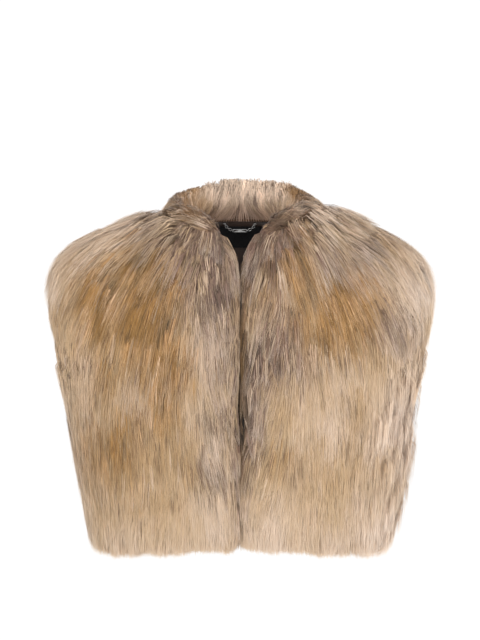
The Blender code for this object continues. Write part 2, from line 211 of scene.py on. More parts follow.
# ------------------------------------------------------------------ soft noise
def value_noise(points, size, seed):
    """Smooth noise from -1 to 1, with features about size metres across."""
    cells = np.random.default_rng(seed).uniform(-1, 1, (32, 32, 32))
    p = points / size + 100.0
    i = np.floor(p).astype(int)
    f = p - i
    f = f * f * (3 - 2 * f)
    out = np.zeros(len(points))
    for dx in (0, 1):
        for dy in (0, 1):
            for dz in (0, 1):
                w = (
                    (f[:, 0] if dx else 1 - f[:, 0])
                    * (f[:, 1] if dy else 1 - f[:, 1])
                    * (f[:, 2] if dz else 1 - f[:, 2])
                )
                out += w * cells[(i[:, 0] + dx) % 32, (i[:, 1] + dy) % 32, (i[:, 2] + dz) % 32]
    return out


# ------------------------------------------------------------------ a combed surface
STEPS = 6  # steps by which a strand is combed along the surface


class Combed:
    """A grid of points with outward normals and a combing direction, sampled by grid place."""

    def __init__(self, grid, out, flow):
        self.grid, self.out = grid, out
        flow = flow - out * (flow * out).sum(2, keepdims=True)
        flow = unit(flow)
        down, across = np.gradient(grid, axis=0), np.gradient(grid, axis=1)
        dd, aa, da = (down**2).sum(2), (across**2).sum(2), (down * across).sum(2)
        fd, fa = (flow * down).sum(2), (flow * across).sum(2)
        bad = np.maximum(dd * aa - da * da, 1e-16)
        self.speed = np.stack([(fd * aa - fa * da) / bad, (fa * dd - fd * da) / bad], 2)
        right = unit(np.cross(flow, out))
        rd, ra = (right * down).sum(2), (right * across).sum(2)
        self.turn = np.stack([(rd * aa - ra * da) / bad, (ra * dd - rd * da) / bad], 2)

    def read(self, values, place):
        rows, columns = values.shape[:2]
        r = np.clip(place[:, 0], 0, rows - 1.001)
        c = np.clip(place[:, 1], 0, columns - 1.001)
        i, j = r.astype(int), c.astype(int)
        u, v = (r - i)[:, None], (c - j)[:, None]
        return (
            values[i, j] * (1 - u) * (1 - v)
            + values[i + 1, j] * u * (1 - v)
            + values[i, j + 1] * (1 - u) * v
            + values[i + 1, j + 1] * u * v
        )

    def scatter(self, count, rng, keep):
        """Places spread evenly by area over the cells where keep is true."""
        a = self.grid[1:, :-1] - self.grid[:-1, :-1]
        b = self.grid[:-1, 1:] - self.grid[:-1, :-1]
        area = np.linalg.norm(np.cross(a, b), axis=2) * keep
        total = np.cumsum(area.ravel())
        pick = (np.arange(count) + rng.random(count)) / count * total[-1]
        cell = np.searchsorted(total, pick)
        cell = np.minimum(cell, area.size - 1)
        i, j = np.divmod(cell, area.shape[1])
        return np.stack([i + rng.random(count), j + rng.random(count)], 1)

    def comb(self, place, reach, swerve):
        """Surface points and normals at even steps as each place moves along the flow by its reach."""
        points, outs = [self.read(self.grid, place)], [unit(self.read(self.out, place))]
        last = np.array(self.grid.shape[:2]) - 1.001
        for k in range(STEPS):
            step = self.read(self.speed, place) * np.cos(swerve[:, k])[:, None]
            step = step + self.read(self.turn, place) * np.sin(swerve[:, k])[:, None]
            place = np.clip(place + step * (reach / STEPS)[:, None], 0, last)
            points.append(self.read(self.grid, place))
            outs.append(unit(self.read(self.out, place)))
        return np.stack(points, 1), np.stack(outs, 1)


def partway(path, t):
    """Points of each path at the shares t of its steps."""
    at = np.clip(t * STEPS, 0, STEPS - 1e-6)
    i = at.astype(int)
    f = (at - i)[:, :, None]
    rows = np.arange(len(path))[:, None]
    return path[rows, i] * (1 - f) + path[rows, i + 1] * f


def part_of(centre, share):
    """The point of each strand at a share of its length."""
    i = int(np.searchsorted(ALONG, share)) - 1
    f = (share - ALONG[i]) / (ALONG[i + 1] - ALONG[i])
    return centre[:, i] * (1 - f) + centre[:, i + 1] * f


def to_line(points, line):
    """Distance of each point to a line of points."""
    dense = spaced(line, 120)
    best = np.full(len(points), 9.0)
    for chunk in np.array_split(np.arange(len(points)), max(1, len(points) // 4000)):
        best[chunk] = np.sqrt(((points[chunk, None] - dense[None]) ** 2).sum(2).min(1))
    return best


# ------------------------------------------------------------------ colour patches
# Soft patches on the fronts, in metres from the middle and down from the neck, with their half sizes:
# how strongly each tints the coat there.  The back repeats them, lower in its middle.
PATCHES = table(
    "kind x z wide high much",
    # ash-brown strips beside the front edges and on the inner shoulders
    (0, -0.034, -0.072, 0.036, 0.066, 1.00),
    (0, -0.020, -0.150, 0.016, 0.060, 0.65),
    (0, -0.022, -0.245, 0.016, 0.040, 0.60),
    (0, -0.030, -0.325, 0.018, 0.024, 0.40),
    (0, 0.026, -0.050, 0.030, 0.042, 1.00),
    (0, 0.024, -0.178, 0.022, 0.048, 1.15),
    (0, 0.046, -0.172, 0.032, 0.022, 0.85),
    (0, 0.014, -0.255, 0.020, 0.060, 0.85),
    # this narrow strip at the right front's edge is partly painted shade, where the edge turns in
    (0, 0.004, -0.270, 0.009, 0.075, 1.30),
    (0, -0.068, -0.022, 0.034, 0.022, 0.95),
    (0, -0.102, -0.012, 0.022, 0.012, 0.65),
    (0, 0.044, 0.010, 0.022, 0.012, 0.95),
    (0, 0.044, -0.150, 0.030, 0.020, 0.90),
    (0, 0.054, -0.030, 0.028, 0.024, 0.90),
    (0, 0.128, -0.036, 0.044, 0.020, 0.72),
    (0, 0.155, -0.048, 0.040, 0.022, 0.60),
    (0, 0.194, -0.135, 0.028, 0.042, 0.75),
    (0, 0.228, -0.240, 0.012, 0.022, 0.60),
    (0, -0.135, -0.225, 0.012, 0.040, 0.30),
    # ochre and gold
    (1, -0.180, -0.100, 0.032, 0.052, 1.45),
    (1, -0.190, -0.068, 0.026, 0.020, 1.00),
    (1, -0.226, -0.122, 0.030, 0.032, 0.65),
    (1, -0.128, -0.110, 0.044, 0.064, 1.65),
    (1, -0.092, -0.112, 0.026, 0.036, 1.05),
    (1, -0.095, -0.195, 0.032, 0.070, 1.35),
    (1, -0.130, -0.178, 0.032, 0.032, 1.30),
    (1, -0.175, -0.180, 0.042, 0.050, 0.75),
    (1, -0.165, -0.290, 0.060, 0.056, 0.85),
    (1, -0.090, -0.285, 0.050, 0.060, 0.45),
    (1, 0.060, -0.095, 0.038, 0.060, 1.00),
    (1, 0.082, -0.062, 0.024, 0.036, 1.15),
    (1, 0.118, -0.114, 0.036, 0.044, 1.50),
    (1, 0.150, -0.112, 0.034, 0.034, 1.20),
    (1, 0.134, -0.222, 0.030, 0.018, 0.50),
    (1, 0.075, -0.210, 0.040, 0.040, 0.40),
    (1, 0.080, -0.168, 0.024, 0.020, 1.00),
    (1, 0.214, -0.118, 0.018, 0.030, 0.55),
    (1, 0.075, -0.320, 0.045, 0.030, 0.55),
    (1, 0.140, -0.270, 0.030, 0.040, 0.40),
    (1, 0.195, -0.035, 0.030, 0.016, 0.50),
    # cream
    (2, -0.240, -0.074, 0.020, 0.030, 0.70),
    (2, -0.182, -0.026, 0.050, 0.020, 0.55),
    (2, -0.134, 0.006, 0.038, 0.012, 0.60),
    (2, -0.162, -0.095, 0.011, 0.036, 0.30),
    (2, -0.040, -0.168, 0.022, 0.024, 0.65),
    (2, -0.045, -0.230, 0.018, 0.050, 0.45),
    (2, -0.125, -0.222, 0.050, 0.016, 0.45),
    (2, -0.205, -0.205, 0.022, 0.050, 0.35),
    (2, -0.030, -0.292, 0.018, 0.024, 0.70),
    (2, -0.034, -0.376, 0.030, 0.044, 0.80),
    (2, -0.030, -0.212, 0.022, 0.020, 0.65),
    (2, -0.110, -0.430, 0.120, 0.042, 0.56),
    (2, 0.100, -0.430, 0.120, 0.050, 0.62),
    (2, 0.175, -0.395, 0.040, 0.060, 1.00),
    (2, 0.110, -0.255, 0.030, 0.035, 0.70),
    (2, 0.205, -0.270, 0.042, 0.078, 0.95),
    (2, 0.045, -0.118, 0.020, 0.020, 0.40),
    (2, 0.228, -0.085, 0.026, 0.050, 0.90),
    (2, 0.090, 0.012, 0.026, 0.014, 1.00),
    (2, 0.112, 0.000, 0.026, 0.014, 0.90),
    (2, 0.022, -0.240, 0.016, 0.018, 0.70),
    (2, 0.130, -0.192, 0.050, 0.022, 0.50),
    (2, 0.104, -0.049, 0.013, 0.016, 0.75),
    (2, 0.160, -0.048, 0.021, 0.016, 1.00),
    (2, -0.158, 0.004, 0.028, 0.015, 1.00),
    (2, 0.013, -0.066, 0.010, 0.026, 1.00),
    (2, 0.128, 0.024, 0.030, 0.014, 1.00),
    (2, 0.080, 0.024, 0.014, 0.012, 0.60),
    (2, -0.110, -0.024, 0.014, 0.014, 0.45),
    (2, 0.213, -0.320, 0.022, 0.036, 0.60),
    (2, 0.080, -0.325, 0.014, 0.020, 0.30),
    (3, -0.078, -0.022, 0.014, 0.018, 1.00),
    (3, -0.028, -0.026, 0.012, 0.018, 0.60),
    (3, 0.027, -0.164, 0.012, 0.022, 0.55),
    (3, -0.035, -0.318, 0.014, 0.022, 0.50),
    (3, -0.053, -0.238, 0.012, 0.022, 0.60),
    (2, 0.186, -0.078, 0.014, 0.016, 0.45),
    (2, 0.054, -0.108, 0.018, 0.014, 0.65),
    (2, 0.235, -0.190, 0.020, 0.040, 0.50),
    (2, -0.215, -0.320, 0.020, 0.030, 0.40),
    (2, 0.000, -0.400, 0.012, 0.040, 0.50),
    (2, 0.184, -0.205, 0.036, 0.030, 0.50),
    (2, 0.080, -0.202, 0.022, 0.020, 0.45),
    (2, 0.040, -0.400, 0.035, 0.050, 0.70),
    # clusters of dark wisps
    (3, -0.016, -0.180, 0.012, 0.014, 0.80),
    (3, -0.032, -0.253, 0.026, 0.016, 1.00),
    (3, -0.038, -0.324, 0.026, 0.015, 1.00),
    (3, -0.034, -0.118, 0.030, 0.020, 0.85),
    (3, -0.066, -0.034, 0.034, 0.022, 0.95),
    (3, -0.024, -0.034, 0.016, 0.028, 1.00),
    (3, 0.026, -0.034, 0.011, 0.015, 0.90),
    (3, -0.104, -0.012, 0.018, 0.010, 0.90),
    (3, -0.120, -0.010, 0.016, 0.010, 0.60),
    (3, -0.118, -0.028, 0.014, 0.010, 0.60),
    (3, 0.024, -0.170, 0.018, 0.024, 1.15),
    (3, 0.040, -0.156, 0.026, 0.018, 1.00),
    (3, 0.046, 0.012, 0.020, 0.010, 1.10),
    (3, 0.009, -0.275, 0.010, 0.040, 0.90),
    (3, -0.213, -0.232, 0.016, 0.020, 0.40),
    (3, 0.030, -0.275, 0.014, 0.030, 0.50),
    (3, 0.036, -0.040, 0.028, 0.024, 0.70),
    (3, 0.080, -0.022, 0.009, 0.012, 0.90),
    (3, 0.094, -0.036, 0.008, 0.012, 0.90),
    (3, 0.133, -0.012, 0.018, 0.014, 0.80),
    (3, 0.150, -0.040, 0.012, 0.014, 0.70),
    (3, 0.178, -0.028, 0.014, 0.012, 0.80),
    (3, 0.228, -0.088, 0.010, 0.018, 0.60),
    (3, 0.193, -0.128, 0.014, 0.020, 0.85),
)
# Heights at which the light tips of one layer of locks end over the darker roots of the next.
BANDS = table(
    "z high much",
    (-0.108, 0.016, 0.45),
    (-0.198, 0.018, 0.60),
    (-0.278, 0.016, 0.50),
    (-0.345, 0.016, 0.60),
)


def tint(points, kind, seed, back=False):
    """How strongly a kind of patch colours each point, 0 to about 1, with ragged edges."""
    x, z = points[:, 0].copy(), points[:, 2].copy()
    if back:
        z = z + 0.034 * ease(0.20, 0.10, np.abs(x))
    wob = np.stack([x, np.zeros_like(x), z], 1)
    x = x + 0.012 * value_noise(wob, 0.035, seed)
    z = z + 0.020 * value_noise(wob, 0.045, seed + 1)
    total = np.zeros(len(points))
    for k, px, pz, wide, high, much in zip(*(PATCHES[c] for c in ("kind", "x", "z", "wide", "high", "much"))):
        if int(k) == kind:
            r2 = ((x - px) / wide) ** 2 + ((z - pz) / high) ** 2
            total = np.maximum(total, much * np.exp(-r2 * 0.9))
    return total


def banding(points, seed):
    z = points[:, 2] + 0.012 * value_noise(points * [1, 1, 0.3], 0.030, seed)
    total = np.zeros(len(points))
    for at, high, much in zip(BANDS["z"], BANDS["high"], BANDS["much"]):
        total = np.maximum(total, much * np.exp(-(((z - at) / high) ** 2)))
    return total


# ------------------------------------------------------------------ hair
ALONG = np.array([0.0, 0.50, 1.0])  # places of a strand's points from root to tip
WIDTHS = np.array([0.85, 1.0])  # share of its width at all but the tip
SEEN = 0.68  # place of a strand that shows most, whose colour it takes


def nearest(points, seeds):
    tree = KDTree(len(seeds))
    for i, seed in enumerate(seeds):
        tree.insert(seed, i)
    tree.balance()
    return np.array([tree.find(p)[1] for p in points])


def hair_mesh(name, centre, out, width, facts):
    """Tapering ribbons through centre (n, 3, 3), lying flat to out, as one mesh with attributes."""
    n = len(centre)
    facts = dict(facts)
    tangent = unit(np.gradient(centre, axis=1))
    side = unit(np.cross(tangent, out))
    face = unit(np.cross(side, tangent))
    twist = facts.pop("twist")[:, None, None]
    side = unit(side * np.cos(twist) + face * np.sin(twist))
    flat = unit(np.cross(side, tangent))
    half = side[:, :2] * (width[:, None] * WIDTHS * 0.5)[:, :, None]
    pairs = np.stack([centre[:, :2] - half, centre[:, :2] + half], 2)
    verts = np.concatenate([pairs.reshape(n, 4, 3), centre[:, 2:]], 1)
    # Shading normals between the coat's and the ribbon's own, rounded a little across the ribbon.
    soft = unit(out * 0.86 + flat * 0.14)
    lean = side[:, :2] * 0.20
    pairs = np.stack([unit(soft[:, :2] - lean), unit(soft[:, :2] + lean)], 2)
    norms = np.concatenate([pairs.reshape(n, 4, 3), soft[:, 2:]], 1)

    base = np.arange(n)[:, None] * 5
    loops = (base + np.array([0, 1, 3, 2, 2, 3, 4])).ravel()
    sizes = np.tile([4, 3], n)
    mesh = bpy.data.meshes.new(name)
    mesh.vertices.add(n * 5)
    mesh.vertices.foreach_set("co", verts.astype(np.float32).ravel())
    mesh.loops.add(len(loops))
    mesh.loops.foreach_set("vertex_index", loops.astype(np.int32))
    mesh.polygons.add(n * 2)
    mesh.polygons.foreach_set("loop_start", np.concatenate([[0], np.cumsum(sizes)[:-1]]).astype(np.int32))
    mesh.update(calc_edges=True)
    mesh.validate()
    mesh.shade_smooth()

    facts = {key: np.repeat(values, 5) for key, values in facts.items()}
    facts["t"] = np.tile(np.repeat(ALONG, 2)[:5], n)
    for key, values in facts.items():
        mesh.attributes.new(key, "FLOAT", "POINT").data.foreach_set("value", values.astype(np.float32))

    # A map with a small cell for each strand.
    cells = math.ceil(math.sqrt(n))
    cell = np.stack([np.arange(n) % cells, np.arange(n) // cells], 1)
    spot = np.stack([np.tile([0.25, 0.75], 3)[:5], 0.08 + 0.84 * np.repeat(ALONG, 2)[:5]], 1)
    spot[4, 0] = 0.5
    uvs = ((cell[:, None] + spot[None]) / cells).reshape(-1, 2)
    layer = mesh.uv_layers.new(name="OFBake")
    layer.data.foreach_set("uv", uvs[loops].astype(np.float32).ravel())

    mesh.normals_split_custom_set_from_vertices(norms.reshape(-1, 3).astype(np.float32))
    return link(mesh, name)


def grow(surface, keep, count, rng, look):
    """Strands over a combed surface.  Strands lie in tufts and tufts in locks, which they lean to."""
    locks = surface.scatter(max(40, int(count / look.strands_a_lock)), rng, keep)
    root = surface.read(surface.grid, locks)
    n = len(locks)
    reach, lift = look.shape(root, surface, locks)
    rough = look.roughness(root)  # 0 where the hair lies smooth to 1 where it is ruffled
    reach = reach * rng.uniform(0.92, 1.10, n)
    lift = lift * (1 + (0.02 + 0.08 * rough) * rng.uniform(-1, 1, n))
    sway = look.sway * value_noise(root, 0.055, look.seed) + (0.02 + 0.05 * rough) * rng.standard_normal(n)
    sway = sway + look.ruffle * rough * value_noise(root, 0.022, look.seed + 3)
    curl = look.curl * (0.15 + 0.85 * rough) * rng.standard_normal(n)
    swerve = sway[:, None] + curl[:, None] * np.linspace(-0.6, 1.0, STEPS)
    lock_path, _ = surface.comb(locks, reach, swerve)

    tufts = surface.scatter(max(80, int(count / look.strands_a_tuft)), rng, keep)
    at = surface.read(surface.grid, tufts)
    m = len(tufts)
    lock = nearest(at + rng.normal(0, 0.0030, at.shape), root)
    tuft_rough = rough[lock]
    tuft_reach = reach[lock] * rng.uniform(0.88, 1.10, m)
    tuft_swerve = swerve[lock] + look.tuft_sway * (0.25 + 0.75 * tuft_rough)[:, None] * (
        rng.standard_normal((m, 1)) + rng.standard_normal((m, 1)) * np.linspace(-1, 1, STEPS)
    )
    tuft_path, _ = surface.comb(tufts, tuft_reach, tuft_swerve)
    mark = look.wisps(tuft_path[:, 4], rng)  # -1 for a dark wisp, 1 for a pale one
    flick = np.where(rng.random(m) < look.flicks(at), rng.uniform(0.10, 0.30, m), 0)

    places = surface.scatter(count, rng, keep)
    base = surface.read(surface.grid, places)
    tuft = nearest(base + rng.normal(0, 0.0006, base.shape), at)
    lock = lock[tuft]
    uneven = rough[lock]
    stray = rng.random(count) < look.strays
    own_swerve = tuft_swerve[tuft] + look.strand_sway * rng.standard_normal((count, 1)) * np.where(stray, 2.5, 1)[:, None]
    path, outs = surface.comb(places, tuft_reach[tuft] * rng.uniform(0.78, 1.06, count), own_swerve)
    t = np.broadcast_to(ALONG, (count, len(ALONG)))
    centre, out = partway(path, t), unit(partway(outs, t))
    wisp = mark[tuft]
    close = rng.uniform(*look.tuft_grip, count) * (0.30 + 0.70 * uneven)
    close = np.where(wisp != 0, rng.uniform(0.40, 0.75, count), close)
    close = np.where(stray, 0.05, close)[:, None] * t**1.2
    grip = (rng.uniform(*look.lock_grip, n) * (0.35 + 0.65 * rough))[lock][:, None] * t**1.4
    centre = centre + (partway(tuft_path[tuft], t) - centre) * close[:, :, None]
    centre = centre + (partway(lock_path[lock], t) - centre) * grip[:, :, None]
    rise = lift[lock] * (1 + (0.02 + 0.06 * uneven) * rng.uniform(-1, 1, m)[tuft])
    rise = rise * (1 - (0.07 + 0.13 * uneven) * rng.random(count)) * (1 + 0.03 * np.abs(wisp) + flick[tuft])
    centre = centre + out * (rise[:, None] * look.rise(t))[:, :, None]
    # tips drift a little off the coat, strays more
    drift = rng.normal(0, 1, (count, 1, 3)) * np.where(stray, look.stray_drift, look.drift)[:, None, None]
    centre = look.finish(centre + drift * t[:, :, None] ** 1.6, rng)
    facts = {
        "twist": rng.normal(0, 0.18, count),
        **look.colours(centre, rng, tuft, m, lock, n, wisp),
    }
    width = look.width * rng.uniform(0.75, 1.25, count) * np.where(stray, 0.75, 1)
    return centre, out, width, facts


SLIT = table(  # the middle of the front opening, and how far the hair stays from it, where negative lets it cross
    "z middle gap",
    (-0.050, 0.0002, 0.0014),
    (-0.072, 0.0006, 0.0008),
    (-0.098, 0.0013, 0.0009),
    (-0.120, 0.0013, 0.0004),
    (-0.148, 0.0022, 0.0009),
    (-0.172, 0.0026, 0.0000),
    (-0.215, 0.0016, -0.0006),
    (-0.235, 0.0013, -0.0004),
    (-0.272, 0.0012, -0.0002),
    (-0.300, 0.0006, -0.0006),
    (-0.340, 0.0000, -0.0008),
    (-0.390, 0.0000, -0.0040),
)


def opening(z):
    """Where the front opening is at a height."""
    return np.interp(z, SLIT["z"][::-1], SLIT["middle"][::-1])


BESIDE = table(  # how far out the hair reaches beside the armholes
    "z x",
    (-0.110, 0.300),
    (-0.149, 0.2515),
    (-0.181, 0.2465),
    (-0.213, 0.2410),
    (-0.250, 0.300),
)


class Look:
    """How the hair of a body panel lies."""

    strands_a_lock, strands_a_tuft = 130, 14
    lock_grip, tuft_grip = (0.03, 0.24), (0.15, 0.55)
    sway, ruffle, curl = 0.11, 0.24, 0.22
    tuft_sway, strand_sway, strays = 0.090, 0.025, 0.05
    drift, stray_drift = 0.0008, 0.0026

    def __init__(self, seed, side, hand):
        self.seed, self.side, self.hand = seed, side, hand
        self.back = side == BACK
        self.armhole, self.neck = armhole_line(side, hand), neck_line(side, hand)
        self.middle = centre_line(hand) if side == FRONT else None

    def rise(self, t):
        return 1 - (1 - np.clip(t, 0, 1)) ** 2.6 - 0.13 * t**3

    def roughness(self, root):
        """Hair lies smooth at the hem and the sides, and ruffled in the ash-brown strips."""
        return np.clip(1.15 * tint(root - [0, 0, 0.03], 0, self.seed + 20, self.back), 0, 1)

    def shape(self, root, surface, places):
        x, z = np.abs(root[:, 0]), root[:, 2]
        reach = np.full(len(root), 0.066)
        lift = np.full(len(root), 0.0300)
        side = ease(0.12, 0.17, x) * ease(-0.24, -0.32, z)
        hem = ease(HEM - 0.002, HEM + 0.060, z)
        lift *= 0.50 + 0.50 * np.maximum(hem, 0.6 * side)
        lift *= 0.58 + 0.42 * round_off(to_line(root, self.armhole) / 0.034)
        if self.middle is not None:
            lift *= 0.38 + 0.62 * round_off(to_line(root, self.middle) / 0.018)
        # at the neck the coat starts low; on the shoulder it fills out quickly beside the collar
        shoulder = ease(0.045, 0.080, x) * ease(-0.06, -0.02, z)
        far = np.clip(to_line(root, self.neck) / (0.036 - 0.016 * shoulder), 0, 1)
        low = 0.28 + 0.34 * shoulder
        lift *= low + (1 - low) * far
        lift *= 1 + 0.16 * shoulder
        reach *= 0.72 + 0.28 * far
        reach *= 1 + 0.10 * value_noise(root, 0.04, self.seed + 9)
        # on the caps of the shoulders it lies closer
        lift *= 1 - np.where(root[:, 0] > 0, 0.22, 0.34) * ease(0.165, 0.215, x) * ease(-0.17, -0.11, z) * ease(-0.025, -0.060, z)
        # and it is fuller below them, and on the right shoulder
        lift += 0.0050 * ease(0.13, 0.18, x) * ease(-0.12, -0.18, z) * ease(-0.36, -0.28, z)
        right = root[:, 0] > 0
        lift += np.where(right, 0.0085, 0.0005) * ease(-0.05, -0.03, z) * ease(0.055, 0.075, x) * ease(0.118, 0.098, x)
        lift -= np.where(right, 0.0030, 0.0040) * ease(-0.05, -0.03, z) * ease(0.095, 0.115, x) * ease(0.160, 0.130, x)
        lift += 0.0050 * ease(-0.13, -0.17, root[:, 0]) * ease(-0.30, -0.38, z)
        # at the right side it stands off more, lower down
        lift += 0.0075 * ease(0.10, 0.17, root[:, 0]) * ease(-0.20, -0.30, z)
        return reach, lift

    def flicks(self, at):
        """Chance that a tuft flicks out: mostly at the right side."""
        return 0.09 * ease(0.15, 0.19, at[:, 0]) * ease(-0.12, -0.20, at[:, 2])

    def wisps(self, seen, rng):
        """Tufts that show as fine dark or pale lines, most of them in the ash-brown strips."""
        strip, gold, cream, cluster = (np.clip(tint(seen, k, self.seed + 20 + 10 * k, self.back), 0, 1) for k in range(4))
        chance = rng.random(len(seen))
        strip = strip * ease(0.15, 0.60, strip)
        dark = np.maximum(0.14 * strip + 0.15 * gold * (1 - strip) * (1 - cream), 0.60 * cluster) + 0.012
        pale = 0.12 * strip + 0.04 * gold * (1 - strip) + 0.10 * cluster + 0.006
        return np.where(chance < dark, -1, np.where(chance > 1 - pale, 1, 0))

    def finish(self, centre, rng):
        """Trim the tips at the hem, and keep each front on its own side of the opening."""
        low = hem_trim(centre[:, -1, 0]) + rng.normal(0, 0.0024, len(centre))
        hang = np.maximum(centre[:, 0, 2] - centre[:, -1, 2], 1e-6)
        keep = np.clip((centre[:, 0, 2] - low) / hang, 0.25, 1)[:, None, None]
        centre = centre[:, :1] + (centre - centre[:, :1]) * keep
        # beside the armholes no tuft stands out of the outline
        x, z = centre[:, :, 0], centre[:, :, 2]
        past = np.maximum(np.abs(x) - np.interp(z, BESIDE["z"][::-1], BESIDE["x"][::-1]), 0)
        centre[:, :, 0] = x - 0.85 * past * np.sign(x)
        if self.side == FRONT:
            z = centre[:, :, 2]
            # the right front's edge goes in under the left's
            under, fray = (0.0020, 0.0042) if self.hand > 0 else (0.0010, 0.0030)
            gap = np.interp(z, SLIT["z"][::-1], SLIT["gap"][::-1]) - under * ease(-0.060, -0.090, z)
            gap = gap + fray * rng.random((len(centre), 1)) * ease(-0.39, -0.33, z)
            line = self.hand * (opening(z) + (0.0010 * np.sin(z * 55 + 0.6) + 0.0007 * np.sin(z * 134 + 2.0)) * ease(-0.07, -0.12, z))
            x = np.maximum(centre[:, :, 0] * self.hand, line + gap)
            # and out of the open V
            edge = v_edge(z) + 0.010 * rng.random((len(z), 1)) ** 1.4 - 0.0015
            x = np.where((z > TIP) & (z < 0.004), np.maximum(x, edge), x)
            centre[:, :, 0] = x * self.hand
        else:
            # the back has no parting, so some strands cross its middle
            cross = rng.uniform(-0.002, 0.008, (len(centre), 1)) * np.exp(-((centre[:, :, 0] / 0.008) ** 2)) * ALONG
            centre[:, :, 0] -= cross * self.hand
        return centre

    def colours(self, centre, rng, tuft, tufts, lock, locks, wisp):
        seen = part_of(centre, SEEN)
        own, streak, patch = rng.normal(0, 1, len(seen)), rng.normal(0, 1, tufts)[tuft], rng.normal(0, 1, locks)[lock]
        grain = 0.10 * own + 0.14 * streak + 0.14 * patch
        # a tuft takes its colour from a place a little off its own, so that the patches end in streaks
        spot = seen + rng.normal(0, 1, (tufts, 3))[tuft] * [0.0030, 0, 0.0120]
        strip = np.clip(tint(spot, 0, self.seed + 20, self.back), 0, 1)
        gold = tint(spot, 1, self.seed + 30, self.back) + 0.12 * value_noise(seen, 0.03, self.seed + 60)
        gold = gold * (1 + 0.22 * streak) + 0.04
        cream = tint(spot, 2, self.seed + 40, self.back) + 0.12 * value_noise(seen, 0.025, self.seed + 70)
        cluster = np.clip(tint(spot, 3, self.seed + 50, self.back), 0, 1)
        band = banding(seen, self.seed + 50)
        # painted shade: where the front edges turn in, the hair is painted darker, browner and with more dark hairs, as
        # if in shade, more so on the right
        beside = np.abs(seen[:, 0] - opening(seen[:, 2]))
        turned = ease(-0.375, -0.310, seen[:, 2]) * ease(-0.030, -0.048, seen[:, 2])
        slit_shade = np.exp(-((beside / 0.0085) ** 2)) * turned * (0.0 if self.back else 1.0 if self.hand > 0 else 0.25)
        lip_shade = (0.5 * np.exp(-((beside / 0.0055) ** 2)) + np.exp(-((beside / 0.0028) ** 2))) * turned * ease(-0.330, -0.280, seen[:, 2])
        lip_shade = lip_shade * (0.0 if self.back else 1.0 if self.hand > 0 else 0.30)
        # painted shade along the edges of the V as well
        edge = np.exp(-(((np.abs(seen[:, 0]) - v_edge(seen[:, 2]) - 0.002) / 0.006) ** 2)) * ease(-0.056, -0.034, seen[:, 2])
        edge = edge * ease(0.006, -0.004, seen[:, 2]) * (0.0 if self.back else 1.0 if self.hand > 0 else 0.6)
        # painted shade in the hollow beside the V
        painted_hollow_shade = np.exp(-(((np.abs(seen[:, 0]) - v_edge(seen[:, 2]) - 0.006) / 0.016) ** 2)) * (0.0 if self.back else 1.0)
        painted_hollow_shade = painted_hollow_shade * ease(-0.130, -0.060, seen[:, 2]) * ease(0.000, -0.020, seen[:, 2]) * (1 - 0.8 * np.clip(cream, 0, 1))
        # in the ash-brown strips dark and pale tufts lie side by side
        ash = strip * (1.0 + 0.34 * streak + 0.20 * own) * (1 - 0.5 * slit_shade) * (1 - 0.8 * np.clip(lip_shade, 0, 1)) + 0.05 * grain
        ash = np.where(wisp > 0, 0.35 * ash, ash)
        cream = cream + 0.30 * grain + 0.40 * strip * np.clip(streak - 0.2, 0, 1)
        pale = rng.uniform(0.25, 0.70, len(seen)) * (1 - 0.5 * np.clip(gold, 0, 1))
        cream = np.where(wisp > 0, np.maximum(cream, pale), cream)
        dark = 0.03 + 0.34 * strip + 0.08 * np.clip(gold, 0, 1) + 0.20 * band + 0.05 * patch - 0.10 * cream + 0.30 * slit_shade + 0.35 * edge + 0.18 * cluster
        guard = (rng.random(len(seen)) < dark) * rng.uniform(0.4, 1, len(seen))
        # near the neck the roots are darker, more on the right front: partly their own colour, partly painted shade
        neck = ease(0.030, 0.0, to_line(seen, self.neck)) * (1.5 if self.hand > 0 and not self.back else 1.0)
        vary = 0.30 + 0.80 * strip + 0.95 * np.clip(gold - cream, 0, 1) - 0.20 * np.clip(cream, 0, 1)
        lines = np.maximum(0.12 * np.clip(gold - cream, 0, 1), 0.07 * strip)
        # streaks a few tufts wide, from neighbouring roots
        wide = value_noise(centre[:, 0], 0.0055, self.seed + 80) * (0.06 + 0.32 * np.clip(gold - cream, 0, 1) + 0.16 * strip + 0.14 * cluster)
        return {
            "ash": np.clip(ash, 0, 1),
            "gold": np.clip(gold + 0.26 * grain + 0.50 * slit_shade + 0.35 * lip_shade, 0, 1),
            "cream": np.clip(cream, 0, 1),
            "guard": np.where((wisp < 0) & (rng.random(len(seen)) < 0.45 + 0.55 * strip), rng.uniform(0.65, 1, len(seen)), guard),
            "light": 1 + vary * (0.05 * own + 0.08 * streak + 0.09 * patch) + lines * streak + wide + 0.03 * wisp - 0.22 * slit_shade - 0.26 * lip_shade - 0.14 * edge - 0.11 * painted_hollow_shade - 0.16 * cluster,
            "dark_root_and_shade": np.maximum(np.maximum(0.5 * neck, 0.5 * slit_shade + 0.2 * lip_shade), 0.8 * edge),
        }


VEE = table(  # half the width of the open V that shows
    "z x",
    (-0.004, 0.0290),
    (-0.020, 0.0178),
    (-0.033, 0.0104),
    (-0.045, 0.0048),
    (-0.060, 0.0004),
)


def v_edge(z):
    """Half the width of the open V that shows at a height."""
    return np.interp(z, VEE["z"][::-1], VEE["x"][::-1])


def round_off(far):
    """0 at an edge to 1, as a quarter round."""
    return np.sqrt(1 - (1 - np.clip(far, 0, 1)) ** 2)


def quarter(side, hand, rows=190, columns=110):
    """A quarter of the body as a grid: rows from below the hem to the neck, columns from the middle to the side."""
    z = heights((-0.515, 30, 0), (HEM, rows - 60, 0), (NECK, 0, 0))
    grid = []
    for h in z:
        grid.append(spaced(half_section(h, side), columns) * [hand, 1, 1])
    grid = np.array(grid)
    return grid, z


